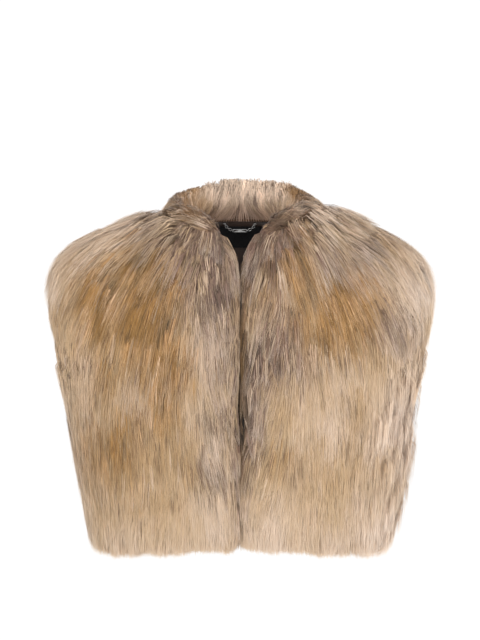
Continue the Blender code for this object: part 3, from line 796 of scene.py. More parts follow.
def comb_body(grid, side):
    """Combing direction: outwards from the neck on the shoulders, then more and more straight down."""
    x, z = np.abs(grid[..., 0]), grid[..., 2]
    down = np.broadcast_to(np.array([0, 0, -1.0]), grid.shape)
    away = unit(grid - np.array([0.0, 0.0, 0.030]))
    share = 0.86 * ease(-0.27, -0.03, z) * ease(0.004, 0.070, x)
    flow = down * (1 - share)[..., None] + away * share[..., None]
    if side == FRONT:
        # it leans to the opening, more so on the right, where the very edge stays upright
        lean = np.where(grid[..., 0] > 0, 0.25, 0.16) * np.exp(-(((x - 0.032) / 0.025) ** 2)) * ease(-0.41, -0.32, z) * ease(-0.05, -0.09, z)
        part = np.where(grid[..., 0] > 0, 0.05, -0.03) * (1 - ease(0.0, 0.012, x)) * ease(-0.41, -0.34, z) * ease(-0.06, -0.09, z) - lean
        flow = flow + part[..., None] * np.sign(grid[..., :1]) * [1, 0, 0]
        # beside the V the hair runs along its edges
        off = x - np.vectorize(neck_cut)(z)
        beside = np.exp(-((off / 0.020) ** 2)) * ease(-0.085, -0.060, z) * ease(0.004, -0.012, z)
        inward = np.stack([-np.sign(grid[..., 0]) * 0.60, np.zeros_like(x), np.full_like(x, -0.80)], -1)
        flow = flow + (inward - flow) * beside[..., None]
    return flow


def kept_cells(grid, z, side):
    """Cells of the quarter that lie on the pelt."""
    mid = (grid[1:, 1:] + grid[:-1, :-1]) / 2
    keep = (mid[..., 2] > HEM) & (mid[..., 2] < NECK)
    for i in range(len(z) - 1):
        h = (z[i] + z[i + 1]) / 2
        if side == FRONT:
            keep[i] &= np.abs(mid[i, :, 0]) > neck_cut(h)
        cut = armhole_cut(h, side)
        keep[i] &= np.abs(mid[i, :, 1]) > (cut if cut > 0.001 else 0)
    return keep


def armhole_line(side, hand):
    line = []
    for h in np.linspace(ARMPIT, TIP, 60):
        line.append(part_row(h, side, 3, 0.0)[-1] * [hand, 1, 1])
    return np.array(line)


def neck_line(side, hand):
    if side == BACK:
        return part_row(NECK, BACK, 40, 0.0) * [hand, 1, 1]
    line = []
    for h in np.linspace(NECKLINE["z"][0], NECK, 40):
        line.append(part_row(h, FRONT, 3, neck_cut(h))[0])
    line += list(part_row(NECK, FRONT, 6, neck_cut(NECK)))
    return np.array(line) * [hand, 1, 1]


def centre_line(hand):
    return np.array([part_row(h, FRONT, 3, FRONT_EDGE)[0] for h in np.linspace(HEM, NECKLINE["z"][0], 50)]) * [hand, 1, 1]


def hem_trim(x):
    """Height of the tips at the hem: level to the eye, with a small notch at the front edges."""
    ax = np.abs(x)
    notch = 0.007 * np.exp(-((x / 0.010) ** 2))
    ripple = 0.0014 * np.sin(x * 95 + 0.6) + 0.0010 * np.sin(x * 210 + 2.0)
    return -0.4225 - 0.0110 * ease(0.03, 0.16, ax) + notch + ripple - 0.0028 * ease(0.150, 0.185, ax)


def panel_hair(name, side, hand, count, seed, width):
    """The hair of a quarter of the vest, in two pieces: below and above the middle strand."""
    rng = np.random.default_rng(seed)
    grid, z = quarter(side, hand)
    surface = Combed(grid, normals(grid), comb_body(grid, side))
    look = Look(seed, side, hand)
    look.width = width
    centre, out, width, facts = grow(surface, kept_cells(grid, z, side), count, rng, look)
    upper = centre[:, 0, 2] > np.median(centre[:, 0, 2])
    return [
        hair_mesh(f"{name}_{word}", centre[pick], out[pick], width[pick], {k: v[pick] for k, v in facts.items()})
        for word, pick in (("lower", ~upper), ("upper", upper))
    ]


# ------------------------------------------------------------------ collar
def collar_path():
    """The neck edge from the collar's front end at -X round the back to the one at +X."""
    side = []
    for z in np.linspace(COLLAR_END, NECK, 24):
        line = half_section(z, FRONT)
        x = neck_cut(z)
        side.append([x, np.interp(x, line[:, 0], line[:, 1]), z])
    top = half_section(NECK, FRONT)
    side += list(top[top[:, 0] > side[-1][0]])
    side += list(half_section(NECK, BACK)[::-1][1:])
    side = np.array(side)
    return np.concatenate([side, (side * [-1, 1, 1])[::-1][1:]])[::-1]


def collar_frame(points=120):
    path = spaced(collar_path(), points)
    for _ in range(points // 20):
        path[1:-1] = (path[:-2] + 2 * path[1:-1] + path[2:]) / 4
    out = path - [0.0, 0.004, 0.0]
    out[:, 2] = 0
    out = unit(out)
    share = np.abs(along(path) / along(path)[-1] * 2 - 1)
    height = smooth(COLLAR["along"], COLLAR["height"], share)
    lean = np.radians(smooth(COLLAR["along"], COLLAR["lean"], share))
    up = np.array([0, 0, 1]) * np.cos(lean)[:, None] + out * np.sin(lean)[:, None]
    face = out * np.cos(lean)[:, None] - np.array([0, 0, 1]) * np.sin(lean)[:, None]
    path = path - out * PELT / 3
    path[:, 2] += smooth(COLLAR["along"], COLLAR["lift"], share)
    return path, up, face, height, share


class CollarLook(Look):
    """Hair that grows up the collar's inner face, fans out and rolls over its top edge."""

    strands_a_lock, strands_a_tuft = 95, 14
    lock_grip, tuft_grip = (0.08, 0.36), (0.30, 0.75)
    sway, ruffle, curl = 0.14, 0.26, 0.22
    tuft_sway, strand_sway, strays = 0.125, 0.035, 0.14
    stray_drift = 0.0040
    width = 0.00062

    def __init__(self, seed):
        self.seed = seed

    def roughness(self, root):
        return 0.45 + 0.55 * ease(-0.02, -0.06, root[:, 1])

    def flicks(self, at):
        return np.full(len(at), 0.01)

    def wisps(self, seen, rng):
        chance = rng.random(len(seen))
        ray = self.rays(seen)
        front = ease(0.0, -0.04, seen[:, 1])
        # at the collar's right front corner more dark wisps and no pale ones: partly dark hair, partly painted shade
        shaded_corner = (seen[:, 0] > 0) & (seen[:, 1] < 0) & (seen[:, 0] < 0.070) & (seen[:, 2] < 0.020)
        dark = 0.02 + (0.12 + 0.36 * ease(0.036, 0.016, seen[:, 2])) * ease(-0.15, -0.45, ray) + 0.16 * front + 0.30 * shaded_corner
        pale = 0.06 + 0.36 * ease(0.10, 0.40, ray) + 0.16 * front
        return np.where(chance < dark, -1, np.where(chance > 1 - pale * ~shaded_corner, 1, 0))

    def rays(self, points):
        """Streaks that run along the fan, from its low middle out."""
        turn = np.arctan2(points[:, 0], points[:, 1] + 0.050)
        return value_noise(np.stack([turn * 0.10, 0 * turn, 0.10 * points[:, 2]], 1), 0.0035, self.seed + 5)

    def rise(self, t):
        return 1 - (1 - np.clip(t, 0, 1)) ** 1.9 - 0.10 * t**3

    def shape(self, root, surface, places):
        p = places[:, 0] / ROOTED
        share = np.abs(places[:, 1] / (surface.grid.shape[1] - 1) * 2 - 1)
        reach = 0.054 * (1 - 0.30 * ease(0.45, 0.90, share))
        lift = 0.0040 + 0.0105 * ease(0.02, 0.45, p) - 0.0050 * ease(0.6, 1.0, p) + 0.0040 * ease(0.25, 0.05, share)
        lift = lift + (0.0025 * ease(0.04, 0.06, root[:, 0]) - 0.0070 * ease(-0.02, -0.05, root[:, 0])) * ease(0.50, 0.30, share)
        lift = lift * (0.62 + 0.38 * ease(0.85, 0.30, share))
        # its front ends lean into the neck
        return reach, lift + 0.0065 * ease(0.70, 0.88, share) * ease(0.02, 0.20, p) * ease(0.80, 0.50, p)

    def finish(self, centre, rng):
        return centre

    def colours(self, centre, rng, tuft, tufts, lock, locks, wisp):
        seen, base = part_of(centre, SEEN), centre[:, 0]
        own, streak, patch = rng.normal(0, 1, len(seen)), rng.normal(0, 1, tufts)[tuft], rng.normal(0, 1, locks)[lock]
        grain = 0.10 * own + 0.16 * streak + 0.14 * patch
        x, z = np.abs(seen[:, 0]), seen[:, 2]
        rear = ease(-0.02, 0.05, seen[:, 1])
        right = seen[:, 0] > 0
        # painted shade under the ends of the collar's roll, given as ash-brown and dark hairs
        end = np.exp(-(((x - np.where(right, 0.098, 0.090)) / 0.010) ** 2 + ((z - 0.026) / 0.011) ** 2))
        # low on the inner face the hair is ash-brown and its roots dark: partly its own colour, partly painted shade at
        # the collar's foot
        ash = 0.06 + (0.36 + 0.14 * rear) * ease(0.034, 0.010, z) * ease(0.080, 0.050, x) + 0.30 * end
        gold = np.where(right, 1.3, 1.6) * np.exp(-(((x - np.where(right, 0.088, 0.070)) / 0.025) ** 2 + ((z - np.where(right, 0.036, 0.030)) / np.where(right, 0.013, 0.020)) ** 2)) + 0.12
        cream = 1.00 * rear * ease(0.016, 0.044, z) * ease(0.074, 0.044, x - 0.012 * right)
        cream = cream + 0.8 * right * np.exp(-(((x - 0.086) / 0.016) ** 2 + ((z - 0.013) / 0.010) ** 2))
        # painted shade low on the right, where the collar's inside meets the front
        painted_hollow_shade = right * np.exp(-(((x - 0.042) / 0.022) ** 2 + ((z - 0.012) / 0.011) ** 2))
        # the roots at its front ends lie in shade
        shaded_corner = np.exp(-(((np.abs(base[:, 0]) - 0.034) / 0.016) ** 2)) * ease(0.02, -0.03, base[:, 1]) * np.where(right, 1.0, 0.55)
        ash = np.clip(ash * (1 + 0.3 * streak) * (1 - 0.5 * np.clip(gold, 0, 1)) + 0.2 * grain, 0, 1)
        ash = np.where(wisp > 0, 0.4 * ash, ash) * (1 - 0.6 * shaded_corner)
        cream = np.where(wisp > 0, np.maximum(cream, rng.uniform(0.4, 0.9, len(seen))), cream)
        guard = (rng.random(len(seen)) < 0.03 + 0.24 * ash + 0.30 * end + 0.30 * painted_hollow_shade) * rng.uniform(0.4, 1, len(seen))
        return {
            "ash": ash,
            "gold": np.clip(gold + 0.3 * grain, 0, 1),
            "cream": np.clip(cream + 0.4 * grain, 0, 1),
            "guard": np.where(wisp < 0, rng.uniform(0.6, 1.0, len(seen)), guard),
            "light": 1.01 + 0.05 * own + (0.09 + 0.07 * (1 - rear)) * streak + 0.07 * patch + 0.30 * self.rays(seen) + 0.26 * value_noise(base, 0.0055, self.seed + 8) + 0.03 * wisp + (0.07 + 0.05 * right) * ease(0.028, 0.044, z) + 0.11 * right - 0.28 * painted_hollow_shade - 0.14 * shaded_corner,
            "dark_root_and_shade": np.maximum(0.9 * ease(0.026, -0.006, base[:, 2]), shaded_corner),
        }


INNER, OVER, ROLL = 22, 12, 24  # rows of the collar's hair: up its inner face, over its top, and down outside
ROOTED = 42  # rows that carry roots
BULK = 0.0038  # half the thickness of the core that the hair is combed over


def collar_hair(name, count, seed):
    """Hair that fans up the inner face, goes over the top edge and rolls down outside."""
    rng = np.random.default_rng(seed)
    foot, up, face, height, share = collar_frame()
    # a little past its ends, so that hair covers them
    foot = np.concatenate([2 * foot[:1] - foot[1:2], foot, 2 * foot[-1:] - foot[-2:-1]])
    up, face, height = (np.concatenate([v[:1], v, v[-1:]]) for v in (up, face, height))
    height[[0, -1]] *= 0.4
    rise = np.array([0, 0, 1.0])
    out = unit(face * [1, 1, 0])
    hand = np.sign(foot[:, :1])
    front = ease(-0.10, -0.75, out[:, 1])[:, None]
    across = out[:, :1] ** 2 * (1 - front)

    rows, wall = [], []
    for s in np.linspace(0, 1, INNER):
        thick = 0.0012 + (BULK - 0.0012) * ease(0, 0.4, s)
        wall.append(foot + up * (-0.0050 + (height + 0.0050) * s)[:, None] - face * thick)
        # at the sides it fills the neck, so that the inside widens upwards like a funnel
        rows.append(wall[-1] - out * (0.030 * across * (1 - s) ** 1.1))
    for turn in np.linspace(-math.pi / 2, math.pi / 2, OVER + 2)[1:-1]:
        rows.append(foot + up * (height + BULK * math.cos(turn))[:, None] + face * (BULK * math.sin(turn)))
    left = ease(-0.02, -0.07, foot[:, :1])  # it lies a little lower on that shoulder
    start = foot + up * height[:, None] + face * BULK
    back_end = foot + out * 0.046 - rise * 0.046
    side_end = foot + out * (0.034 - 0.011 * left) - rise * (0.003 + 0.003 * left)
    front_end = foot + hand * np.array([0.036, 0, 0]) + np.array([0, 0.016, 0.014])
    end = side_end * across + front_end * front + back_end * (1 - across - front)
    back_bend = start + out * 0.022 - rise * 0.008
    side_bend = start + out * (0.019 - 0.013 * left) + rise * (0.006 - 0.010 * left)
    front_bend = (start + front_end) / 2 + np.array([0, -0.004, 0.006])
    bend = side_bend * across + front_bend * front + back_bend * (1 - across - front)
    for t in np.linspace(0, 1, ROLL):
        rows.append(start * (1 - t) ** 2 + bend * 2 * t * (1 - t) + end * t * t)
    grid = np.array(rows)
    climb, around = np.gradient(grid, axis=0), np.gradient(grid, axis=1)
    normal = unit(np.cross(climb, around))
    normal = normal * np.sign((normal[3] * -face).sum())
    # It fans out from low in front of the neck, and over the top goes straight out.
    fan = unit(grid - np.array([0.0, -0.050, -0.014]))
    straight = np.maximum(ease(INNER - 6, INNER + OVER, np.arange(len(grid)))[:, None, None], front[None])
    surface = Combed(grid, normal, fan * (1 - straight) + unit(climb) * straight)
    keep = np.ones((grid.shape[0] - 1, grid.shape[1] - 1), bool)
    keep[ROOTED:] = False
    centre, normal, width, facts = grow(surface, keep, count, rng, CollarLook(seed))
    # the roots of what fills the neck are on the wall
    wall = np.array(wall)
    found = nearest(centre[:, 0], wall.reshape(-1, 3))
    to_wall = wall.reshape(-1, 3)[found] - centre[:, 0]
    inside = (to_wall * np.tile(out, (INNER, 1))[found]).sum(1) > 0
    centre = centre + (to_wall * inside[:, None])[:, None] * ((1 - ALONG) ** 2.5)[None, :, None]
    return hair_mesh(name, centre, normal, width, facts)


DRAPE = table(  # where hair on the outside of the collar's front parts goes, from its foot: aside and up
    "along aside rise",
    (0.34, 0.040, -0.004),
    (0.52, 0.046, -0.006),
    (0.62, 0.050, -0.014),
    (0.72, 0.042, -0.030),
    (0.82, 0.022, -0.046),
    (0.92, 0.002, -0.052),
    (1.00, -0.012, -0.050),
)


class DrapeLook(Look):
    """Hair down the outside of the collar's front part, which merges with the coat."""

    strands_a_lock, strands_a_tuft = 95, 14
    lock_grip, tuft_grip = (0.08, 0.36), (0.30, 0.75)
    ruffle, curl, tuft_sway = 0.24, 0.20, 0.110
    width = 0.00068

    def roughness(self, root):
        return np.full(len(root), 0.8)

    def flicks(self, at):
        return np.zeros(len(at))

    def shape(self, root, surface, places):
        p = places[:, 0] / DRAPED
        return np.full(len(root), 0.046), 0.0060 + 0.0030 * ease(0.0, 0.6, p)

    def colours(self, *given):
        facts = super().colours(*given)
        seen = part_of(given[0], SEEN)
        # painted shade in the hollow on the right and at the roots by the collar's front ends
        painted_hollow_shade = (seen[:, 0] > 0) * np.exp(-(((seen[:, 0] - 0.042) / 0.026) ** 2 + ((seen[:, 2] - 0.008) / 0.018) ** 2))
        base = given[0][:, 0]
        shaded_corner = np.exp(-(((np.abs(base[:, 0]) - 0.034) / 0.016) ** 2)) * (1.0 if self.hand > 0 else 0.5)
        facts["dark_root_and_shade"] = np.maximum(facts["dark_root_and_shade"] * 0.4, shaded_corner)
        outer = ease(0.052, 0.072, np.abs(seen[:, 0])) * (1.0 if self.hand > 0 else 0.4)
        facts["light"] = facts["light"] - 0.17 * painted_hollow_shade - 0.12 * shaded_corner + 0.08 * outer
        return facts


DRAPED = 24  # rows of it that carry roots


def drape_hair(name, hand, count, seed):
    """Hair from the top edge of a front part of the collar down over the coat, spreading like a fan."""
    rng = np.random.default_rng(seed)
    foot, up, face, height, share = collar_frame()
    pick = (share > DRAPE["along"][0]) & (foot[:, 0] * hand > 0)
    foot, up, face, height, share = foot[pick], up[pick], face[pick], height[pick], share[pick]
    ends = []
    for point, s in zip(foot, share):
        x = abs(point[0]) + smooth(DRAPE["along"], DRAPE["aside"], s)
        z = point[2] + smooth(DRAPE["along"], DRAPE["rise"], s)
        line = half_section(float(z), FRONT if point[1] < 0 else BACK)
        ends.append([hand * x, np.interp(x, line[:, 0], line[:, 1]), z])
    end = np.array(ends) + [0, -0.006, 0.006]
    # at the side it goes straight out over the shoulder
    aside = unit(face * [1, 1, 0])
    end = end + (foot + aside * 0.046 - [0, 0, 0.004] - end) * ease(0.66, 0.56, share)[:, None]
    start = foot + face * BULK
    bend = start * 0.55 + end * 0.45 + [0, -0.005, 0.004]
    rows = [foot + up * (height * s)[:, None] - face * BULK * 0.7 for s in (0.7, 0.85)]
    for turn in np.linspace(-math.pi / 2, math.pi / 2, 7)[:-1]:
        rows.append(foot + up * (height + BULK * 0.7 * math.cos(turn))[:, None] + face * (BULK * math.sin(turn)))
    rows += [start + up * (height * s)[:, None] for s in np.linspace(1, 0, 9)]
    for t in np.linspace(0, 1, 30)[1:]:
        rows.append(start * (1 - t) ** 2 + bend * 2 * t * (1 - t) + end * t * t)
    grid = np.array(rows)
    climb, around = np.gradient(grid, axis=0), np.gradient(grid, axis=1)
    normal = unit(np.cross(climb, around))
    normal = normal * np.sign((normal[12] * face).sum())
    surface = Combed(grid, normal, unit(climb))
    keep = np.ones((grid.shape[0] - 1, grid.shape[1] - 1), bool)
    keep[DRAPED:] = False
    return hair_mesh(name, *grow(surface, keep, count, rng, DrapeLook(seed, FRONT, hand)))


# ------------------------------------------------------------------ thin walls
def link(mesh, name):
    obj = bpy.data.objects.new(name, mesh)
    bpy.context.scene.collection.objects.link(obj)
    return obj


def wall_object(name, outer, inner):
    """A closed thin wall between two grids of points, with a UV map along the grid."""
    rows, columns = outer.shape[:2]
    bm = bmesh.new()
    layer = bm.loops.layers.uv.new("UVMap")
    a = [[bm.verts.new(p) for p in row] for row in outer]
    b = [[bm.verts.new(p) for p in row] for row in inner]
    place = {}
    for g in (a, b):
        for r in range(rows):
            for c in range(columns):
                place[g[r][c]] = (c / (columns - 1), r / (rows - 1))
    faces = []
    for r in range(rows - 1):
        for c in range(columns - 1):
            faces.append((a[r][c], a[r][c + 1], a[r + 1][c + 1], a[r + 1][c]))
            faces.append((b[r][c], b[r + 1][c], b[r + 1][c + 1], b[r][c + 1]))
    for c in range(columns - 1):
        faces.append((a[0][c + 1], a[0][c], b[0][c], b[0][c + 1]))
        faces.append((a[-1][c], a[-1][c + 1], b[-1][c + 1], b[-1][c]))
    for r in range(rows - 1):
        faces.append((a[r][0], a[r + 1][0], b[r + 1][0], b[r][0]))
        faces.append((a[r + 1][-1], a[r][-1], b[r][-1], b[r + 1][-1]))
    for f in faces:
        made = bm.faces.new(f)
        made.smooth = True
        for loop in made.loops:
            loop[layer].uv = place[loop.vert]
    bmesh.ops.recalc_face_normals(bm, faces=bm.faces)
    mesh = bpy.data.meshes.new(name)
    bm.to_mesh(mesh)
    bm.free()
    mesh.set_sharp_from_angle(angle=math.radians(50))
    return link(mesh, name)


FINE_ROWS = heights((HEM, 16, 0), (ARMPIT, 22, 1), (TIP, 16, 0), (NECK, 0, 0))


def front_grid(hand, columns=26):
    return np.array([part_row(z, FRONT, columns, neck_cut(z)) * [hand, 1, 1] for z in FINE_ROWS])


def back_grid(columns=26):
    grid = []
    for z in FINE_ROWS:
        half = part_row(z, BACK, columns, 0.0)
        grid.append(np.concatenate([(half * [-1, 1, 1])[:0:-1], half]))
    return np.array(grid)


# ------------------------------------------------------------------ materials
def new_material(name):
    made = bpy.data.materials.new(name)
    made.use_nodes = True
    tree = made.node_tree
    return made, tree, tree.nodes["Principled BSDF"]


def node(tree, kind, **values):
    made = tree.nodes.new(kind)
    for key, value in values.items():
        if key in made.inputs:
            made.inputs[key].default_value = value
        else:
            setattr(made, key, value)
    return made


def attribute(tree, name):
    return node(tree, "ShaderNodeAttribute", attribute_name=name, attribute_type="GEOMETRY").outputs["Fac"]


def maths(tree, operation, a, b=None, clamp=False):
    made = node(tree, "ShaderNodeMath", operation=operation, use_clamp=clamp)
    for slot, value in zip(made.inputs, (a, b)):
        if value is None:
            continue
        if isinstance(value, (int, float)):
            slot.default_value = value
        else:
            tree.links.new(value, slot)
    return made.outputs[0]


def ramp(tree, fac, stops, smooth_it=True):
    made = node(tree, "ShaderNodeValToRGB")
    made.color_ramp.interpolation = "EASE" if smooth_it else "LINEAR"
    while len(made.color_ramp.elements) < len(stops):
        made.color_ramp.elements.new(0.5)
    for element, (at, colour) in zip(made.color_ramp.elements, stops):
        element.position = at
        element.color = (*colour, 1)
    tree.links.new(fac, made.inputs["Fac"])
    return made.outputs["Color"]


def mixed(tree, fac, a, b, blend="MIX"):
    made = node(tree, "ShaderNodeMix", data_type="RGBA", blend_type=blend, clamp_factor=True)
    for slot, value in ((made.inputs[0], fac), (made.inputs[6], a), (made.inputs[7], b)):
        if isinstance(value, tuple):
            slot.default_value = (*value, 1)
        elif isinstance(value, (int, float)):
            slot.default_value = value
        else:
            tree.links.new(value, slot)
    return made.outputs[2]


def srgb(r, g, b):
    def line(v):
        v /= 255
        return v / 12.92 if v <= 0.04045 else ((v + 0.055) / 1.055) ** 2.4

    return (line(r), line(g), line(b))


def fur_material():
    made, tree, shader = new_material("fur")
    t = attribute(tree, "t")
    ash, gold, cream = attribute(tree, "ash"), attribute(tree, "gold"), attribute(tree, "cream")
    guard, light, dark_root_and_shade = attribute(tree, "guard"), attribute(tree, "light"), attribute(tree, "dark_root_and_shade")
    sand = ramp(tree, t, [(0.0, srgb(208, 178, 142)), (0.30, srgb(200, 169, 130)), (0.70, srgb(203, 172, 133)), (1.0, srgb(219, 192, 157))])
    golden = ramp(tree, t, [(0.0, srgb(162, 122, 72)), (0.32, srgb(150, 107, 52)), (0.72, srgb(158, 115, 58)), (1.0, srgb(180, 139, 82))])
    ashen = ramp(tree, t, [(0.0, srgb(122, 95, 80)), (0.34, srgb(127, 98, 81)), (0.72, srgb(153, 127, 112)), (1.0, srgb(204, 182, 169))])
    creamy = ramp(tree, t, [(0.0, srgb(222, 197, 173)), (0.30, srgb(222, 196, 172)), (0.70, srgb(229, 206, 185)), (1.0, srgb(240, 223, 207))])
    colour = mixed(tree, gold, sand, golden)
    colour = mixed(tree, cream, colour, creamy)
    colour = mixed(tree, ash, colour, ashen)
    dark = ramp(tree, t, [(0.0, (0, 0, 0)), (0.30, (0.70, 0.70, 0.70)), (0.72, (0.85, 0.85, 0.85)), (0.95, (0.25, 0.25, 0.25))])
    colour = mixed(tree, maths(tree, "MULTIPLY", guard, dark), colour, mixed(tree, gold, srgb(86, 63, 54), srgb(104, 72, 42)))
    # the roots are darkened where the attribute asks: near the neck partly their own dark colour, partly painted shade;
    # beside the front opening, along the V and at the collar's foot and front ends painted shade
    rooty = ramp(tree, t, [(0.0, (1, 1, 1)), (0.25, (0.85, 0.85, 0.85)), (0.80, (0, 0, 0))])
    colour = mixed(tree, maths(tree, "MULTIPLY", dark_root_and_shade, rooty), colour, srgb(108, 76, 61))
    # each strand, tuft and lock a little lighter or darker than the next, and painted shade beside the front opening,
    # along the V and at the collar's front ends
    shade = node(tree, "ShaderNodeHueSaturation", Saturation=1.0)
    tree.links.new(colour, shade.inputs["Color"])
    tree.links.new(light, shade.inputs["Value"])
    tree.links.new(shade.outputs["Color"], shader.inputs["Base Color"])
    shader.inputs["Roughness"].default_value = 0.50
    shader.inputs["Specular IOR Level"].default_value = 0.28
    shader.inputs["Sheen Weight"].default_value = 0.16
    shader.inputs["Sheen Roughness"].default_value = 0.5
    return made


def pelt_material():
    made, tree, shader = new_material("pelt")
    where = node(tree, "ShaderNodeTexCoord").outputs["Object"]
    blot = node(tree, "ShaderNodeTexNoise", Scale=38.0, Detail=6.0, Roughness=0.6)
    tree.links.new(where, blot.inputs["Vector"])
    nap = node(tree, "ShaderNodeTexNoise", Scale=900.0, Detail=3.0, Roughness=0.7)
    tree.links.new(where, nap.inputs["Vector"])
    colour = ramp(tree, blot.outputs["Fac"], [(0.25, srgb(84, 60, 42)), (0.50, srgb(108, 78, 54)), (0.78, srgb(128, 96, 68))])
    colour = mixed(tree, maths(tree, "MULTIPLY", nap.outputs["Fac"], 0.35), colour, srgb(72, 50, 36))
    tree.links.new(colour, shader.inputs["Base Color"])
    bump = node(tree, "ShaderNodeBump", Strength=0.35, Distance=0.0006)
    tree.links.new(nap.outputs["Fac"], bump.inputs["Height"])
    tree.links.new(bump.outputs["Normal"], shader.inputs["Normal"])
    shader.inputs["Roughness"].default_value = 0.9
    shader.inputs["Specular IOR Level"].default_value = 0.2
    shader.inputs["Sheen Weight"].default_value = 0.25
    return made


def weave(tree, across, up, twill):
    """Height of a fine weave over the UV map: satin or twill floats."""
    uv = node(tree, "ShaderNodeUVMap", uv_map="UVMap")
    scale = node(tree, "ShaderNodeMapping")
    scale.inputs["Scale"].default_value = (across, up, 1)
    if twill:
        scale.inputs["Rotation"].default_value = (0, 0, math.radians(twill))
    tree.links.new(uv.outputs["UV"], scale.inputs["Vector"])
    wave = node(tree, "ShaderNodeTexWave", wave_type="BANDS", bands_direction="X", Scale=1.0, Distortion=0.6, Detail=2.0)
    wave.inputs["Detail Scale"].default_value = 3.0
    tree.links.new(scale.outputs["Vector"], wave.inputs["Vector"])
    return wave.outputs["Fac"]


def lining_material():
    made, tree, shader = new_material("lining")
    where = node(tree, "ShaderNodeTexCoord").outputs["Object"]
    cloud = node(tree, "ShaderNodeTexNoise", Scale=22.0, Detail=4.0)
    tree.links.new(where, cloud.inputs["Vector"])
    thread = weave(tree, 900.0, 12.0, 0)
    colour = ramp(tree, cloud.outputs["Fac"], [(0.30, srgb(44, 31, 25)), (0.55, srgb(58, 42, 34)), (0.80, srgb(70, 52, 42))])
    colour = mixed(tree, maths(tree, "MULTIPLY", thread, 0.30), colour, srgb(32, 23, 19))
    tree.links.new(colour, shader.inputs["Base Color"])
    bump = node(tree, "ShaderNodeBump", Strength=0.18, Distance=0.0003)
    tree.links.new(thread, bump.inputs["Height"])
    tree.links.new(bump.outputs["Normal"], shader.inputs["Normal"])
    shader.inputs["Roughness"].default_value = 0.38
    shader.inputs["Specular IOR Level"].default_value = 0.45
    shader.inputs["Sheen Weight"].default_value = 0.15
    return made


def label_material():
    made, tree, shader = new_material("label")
    twill = weave(tree, 130.0, 62.0, 38)
    rib = weave(tree, 260.0, 6.0, 0)
    height = maths(tree, "ADD", maths(tree, "MULTIPLY", twill, 0.6), maths(tree, "MULTIPLY", rib, 0.4))
    colour = ramp(tree, height, [(0.2, srgb(3, 3, 4)), (0.6, srgb(8, 8, 10)), (0.95, srgb(16, 16, 19))])
    tree.links.new(colour, shader.inputs["Base Color"])
    bump = node(tree, "ShaderNodeBump", Strength=0.35, Distance=0.0003)
    tree.links.new(height, bump.inputs["Height"])
    tree.links.new(bump.outputs["Normal"], shader.inputs["Normal"])
    shader.inputs["Roughness"].default_value = 0.60
    shader.inputs["Specular IOR Level"].default_value = 0.22
    shader.inputs["Sheen Weight"].default_value = 0.03
    return made


def metal_material():
    made, tree, shader = new_material("metal")
    where = node(tree, "ShaderNodeTexCoord").outputs["Object"]
    wear = node(tree, "ShaderNodeTexNoise", Scale=600.0, Detail=4.0)
    tree.links.new(where, wear.inputs["Vector"])
    # painted shade: the silver is given a darker grey than its own, for the chain hanging in the shade of the neck; the
    # noise varies it with wear
    colour = ramp(tree, wear.outputs["Fac"], [(0.3, (0.24, 0.236, 0.232)), (0.7, (0.40, 0.395, 0.385))])
    tree.links.new(colour, shader.inputs["Base Color"])
    rough = node(tree, "ShaderNodeMapRange")
    rough.inputs["To Min"].default_value = 0.08
    rough.inputs["To Max"].default_value = 0.20
    tree.links.new(wear.outputs["Fac"], rough.inputs["Value"])
    tree.links.new(rough.outputs["Result"], shader.inputs["Roughness"])
    shader.inputs["Metallic"].default_value = 1.0
    return made


FUR, SUEDE, SATIN, RIBBON, STEEL = fur_material(), pelt_material(), lining_material(), label_material(), metal_material()


def dress(obj, material, slot, body, *nodes):
    obj.data.materials.append(material)
    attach(obj, body)
    if nodes:
        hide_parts(*nodes)
    return obj


# ------------------------------------------------------------------ pelts, lining, label
def build_cloth():
    pieces = {}
    for hand, word in ((-1, "left"), (1, "right")):
        grid = front_grid(hand)
        out = normals(grid)
        pelt = wall_object(f"pelt_front_{word}", grid, grid - out * PELT)
        pieces[f"front_{word}"] = dress(pelt, SUEDE, "pelt", "vest", f"front_{word}")
    grid = back_grid()
    out = normals(grid)
    pieces["back"] = dress(wall_object("pelt_back", grid, grid - out * PELT), SUEDE, "pelt", "vest", "back")

    # The lining hangs a little slack: soft vertical folds, deeper towards the hem, only inwards.
    sheet = grid - out * (PELT + LAYER)
    sheet[0] += (sheet[4] - sheet[0]) * 0.35
    sheet[1] += (sheet[4] - sheet[1]) * 0.25
    sheet[-1] += (sheet[-2] - sheet[-1]) * 0.6
    slack = ease(-0.06, -0.30, sheet[..., 2])
    x = sheet[..., 0]
    fold = 0.5 + 0.5 * np.sin(x * 88 + 1.3 + 2.2 * np.sin(sheet[..., 2] * 9)) * np.cos(x * 31 + 0.4)
    sheet = sheet - out * (0.0022 * slack * fold)[..., None]
    pieces["lining"] = dress(
        wall_object("lining_back_satin", sheet, sheet - out * LINING), SATIN, "lining", "vest", "lining_back"
    )

    rows = []
    for z in np.linspace(LABEL_FOOT, LABEL_TOP, 13):
        line = half_section(z, BACK)
        x = np.linspace(-LABEL_WIDTH / 2, LABEL_WIDTH / 2, 29)
        rows.append(np.stack([x, np.interp(np.abs(x), line[:, 0], line[:, 1]), np.full(len(x), z)], 1))
    grid = np.array(rows)
    out = normals(grid)
    sheet = grid - out * (PELT + LAYER + LINING + 2 * SEAM)
    # sewn down at its ends, so it bows off the lining slightly between them
    bow = 0.0006 * np.sin(np.linspace(0, math.pi, 29)) ** 2
    sheet = sheet - out * bow[None, :, None]
    pieces["label"] = dress(wall_object("label_ribbon", sheet, sheet - out * LABEL), RIBBON, "label", "vest", "label")

    foot, up, face, height, share = collar_frame(90)
    wall = np.array([foot + up * (height * s)[:, None] for s in np.linspace(0, 1, 9)])
    pieces["collar"] = dress(
        wall_object("pelt_collar", wall + face * PELT / 2, wall - face * PELT / 2), SUEDE, "pelt", "vest", "collar"
    )
    return pieces


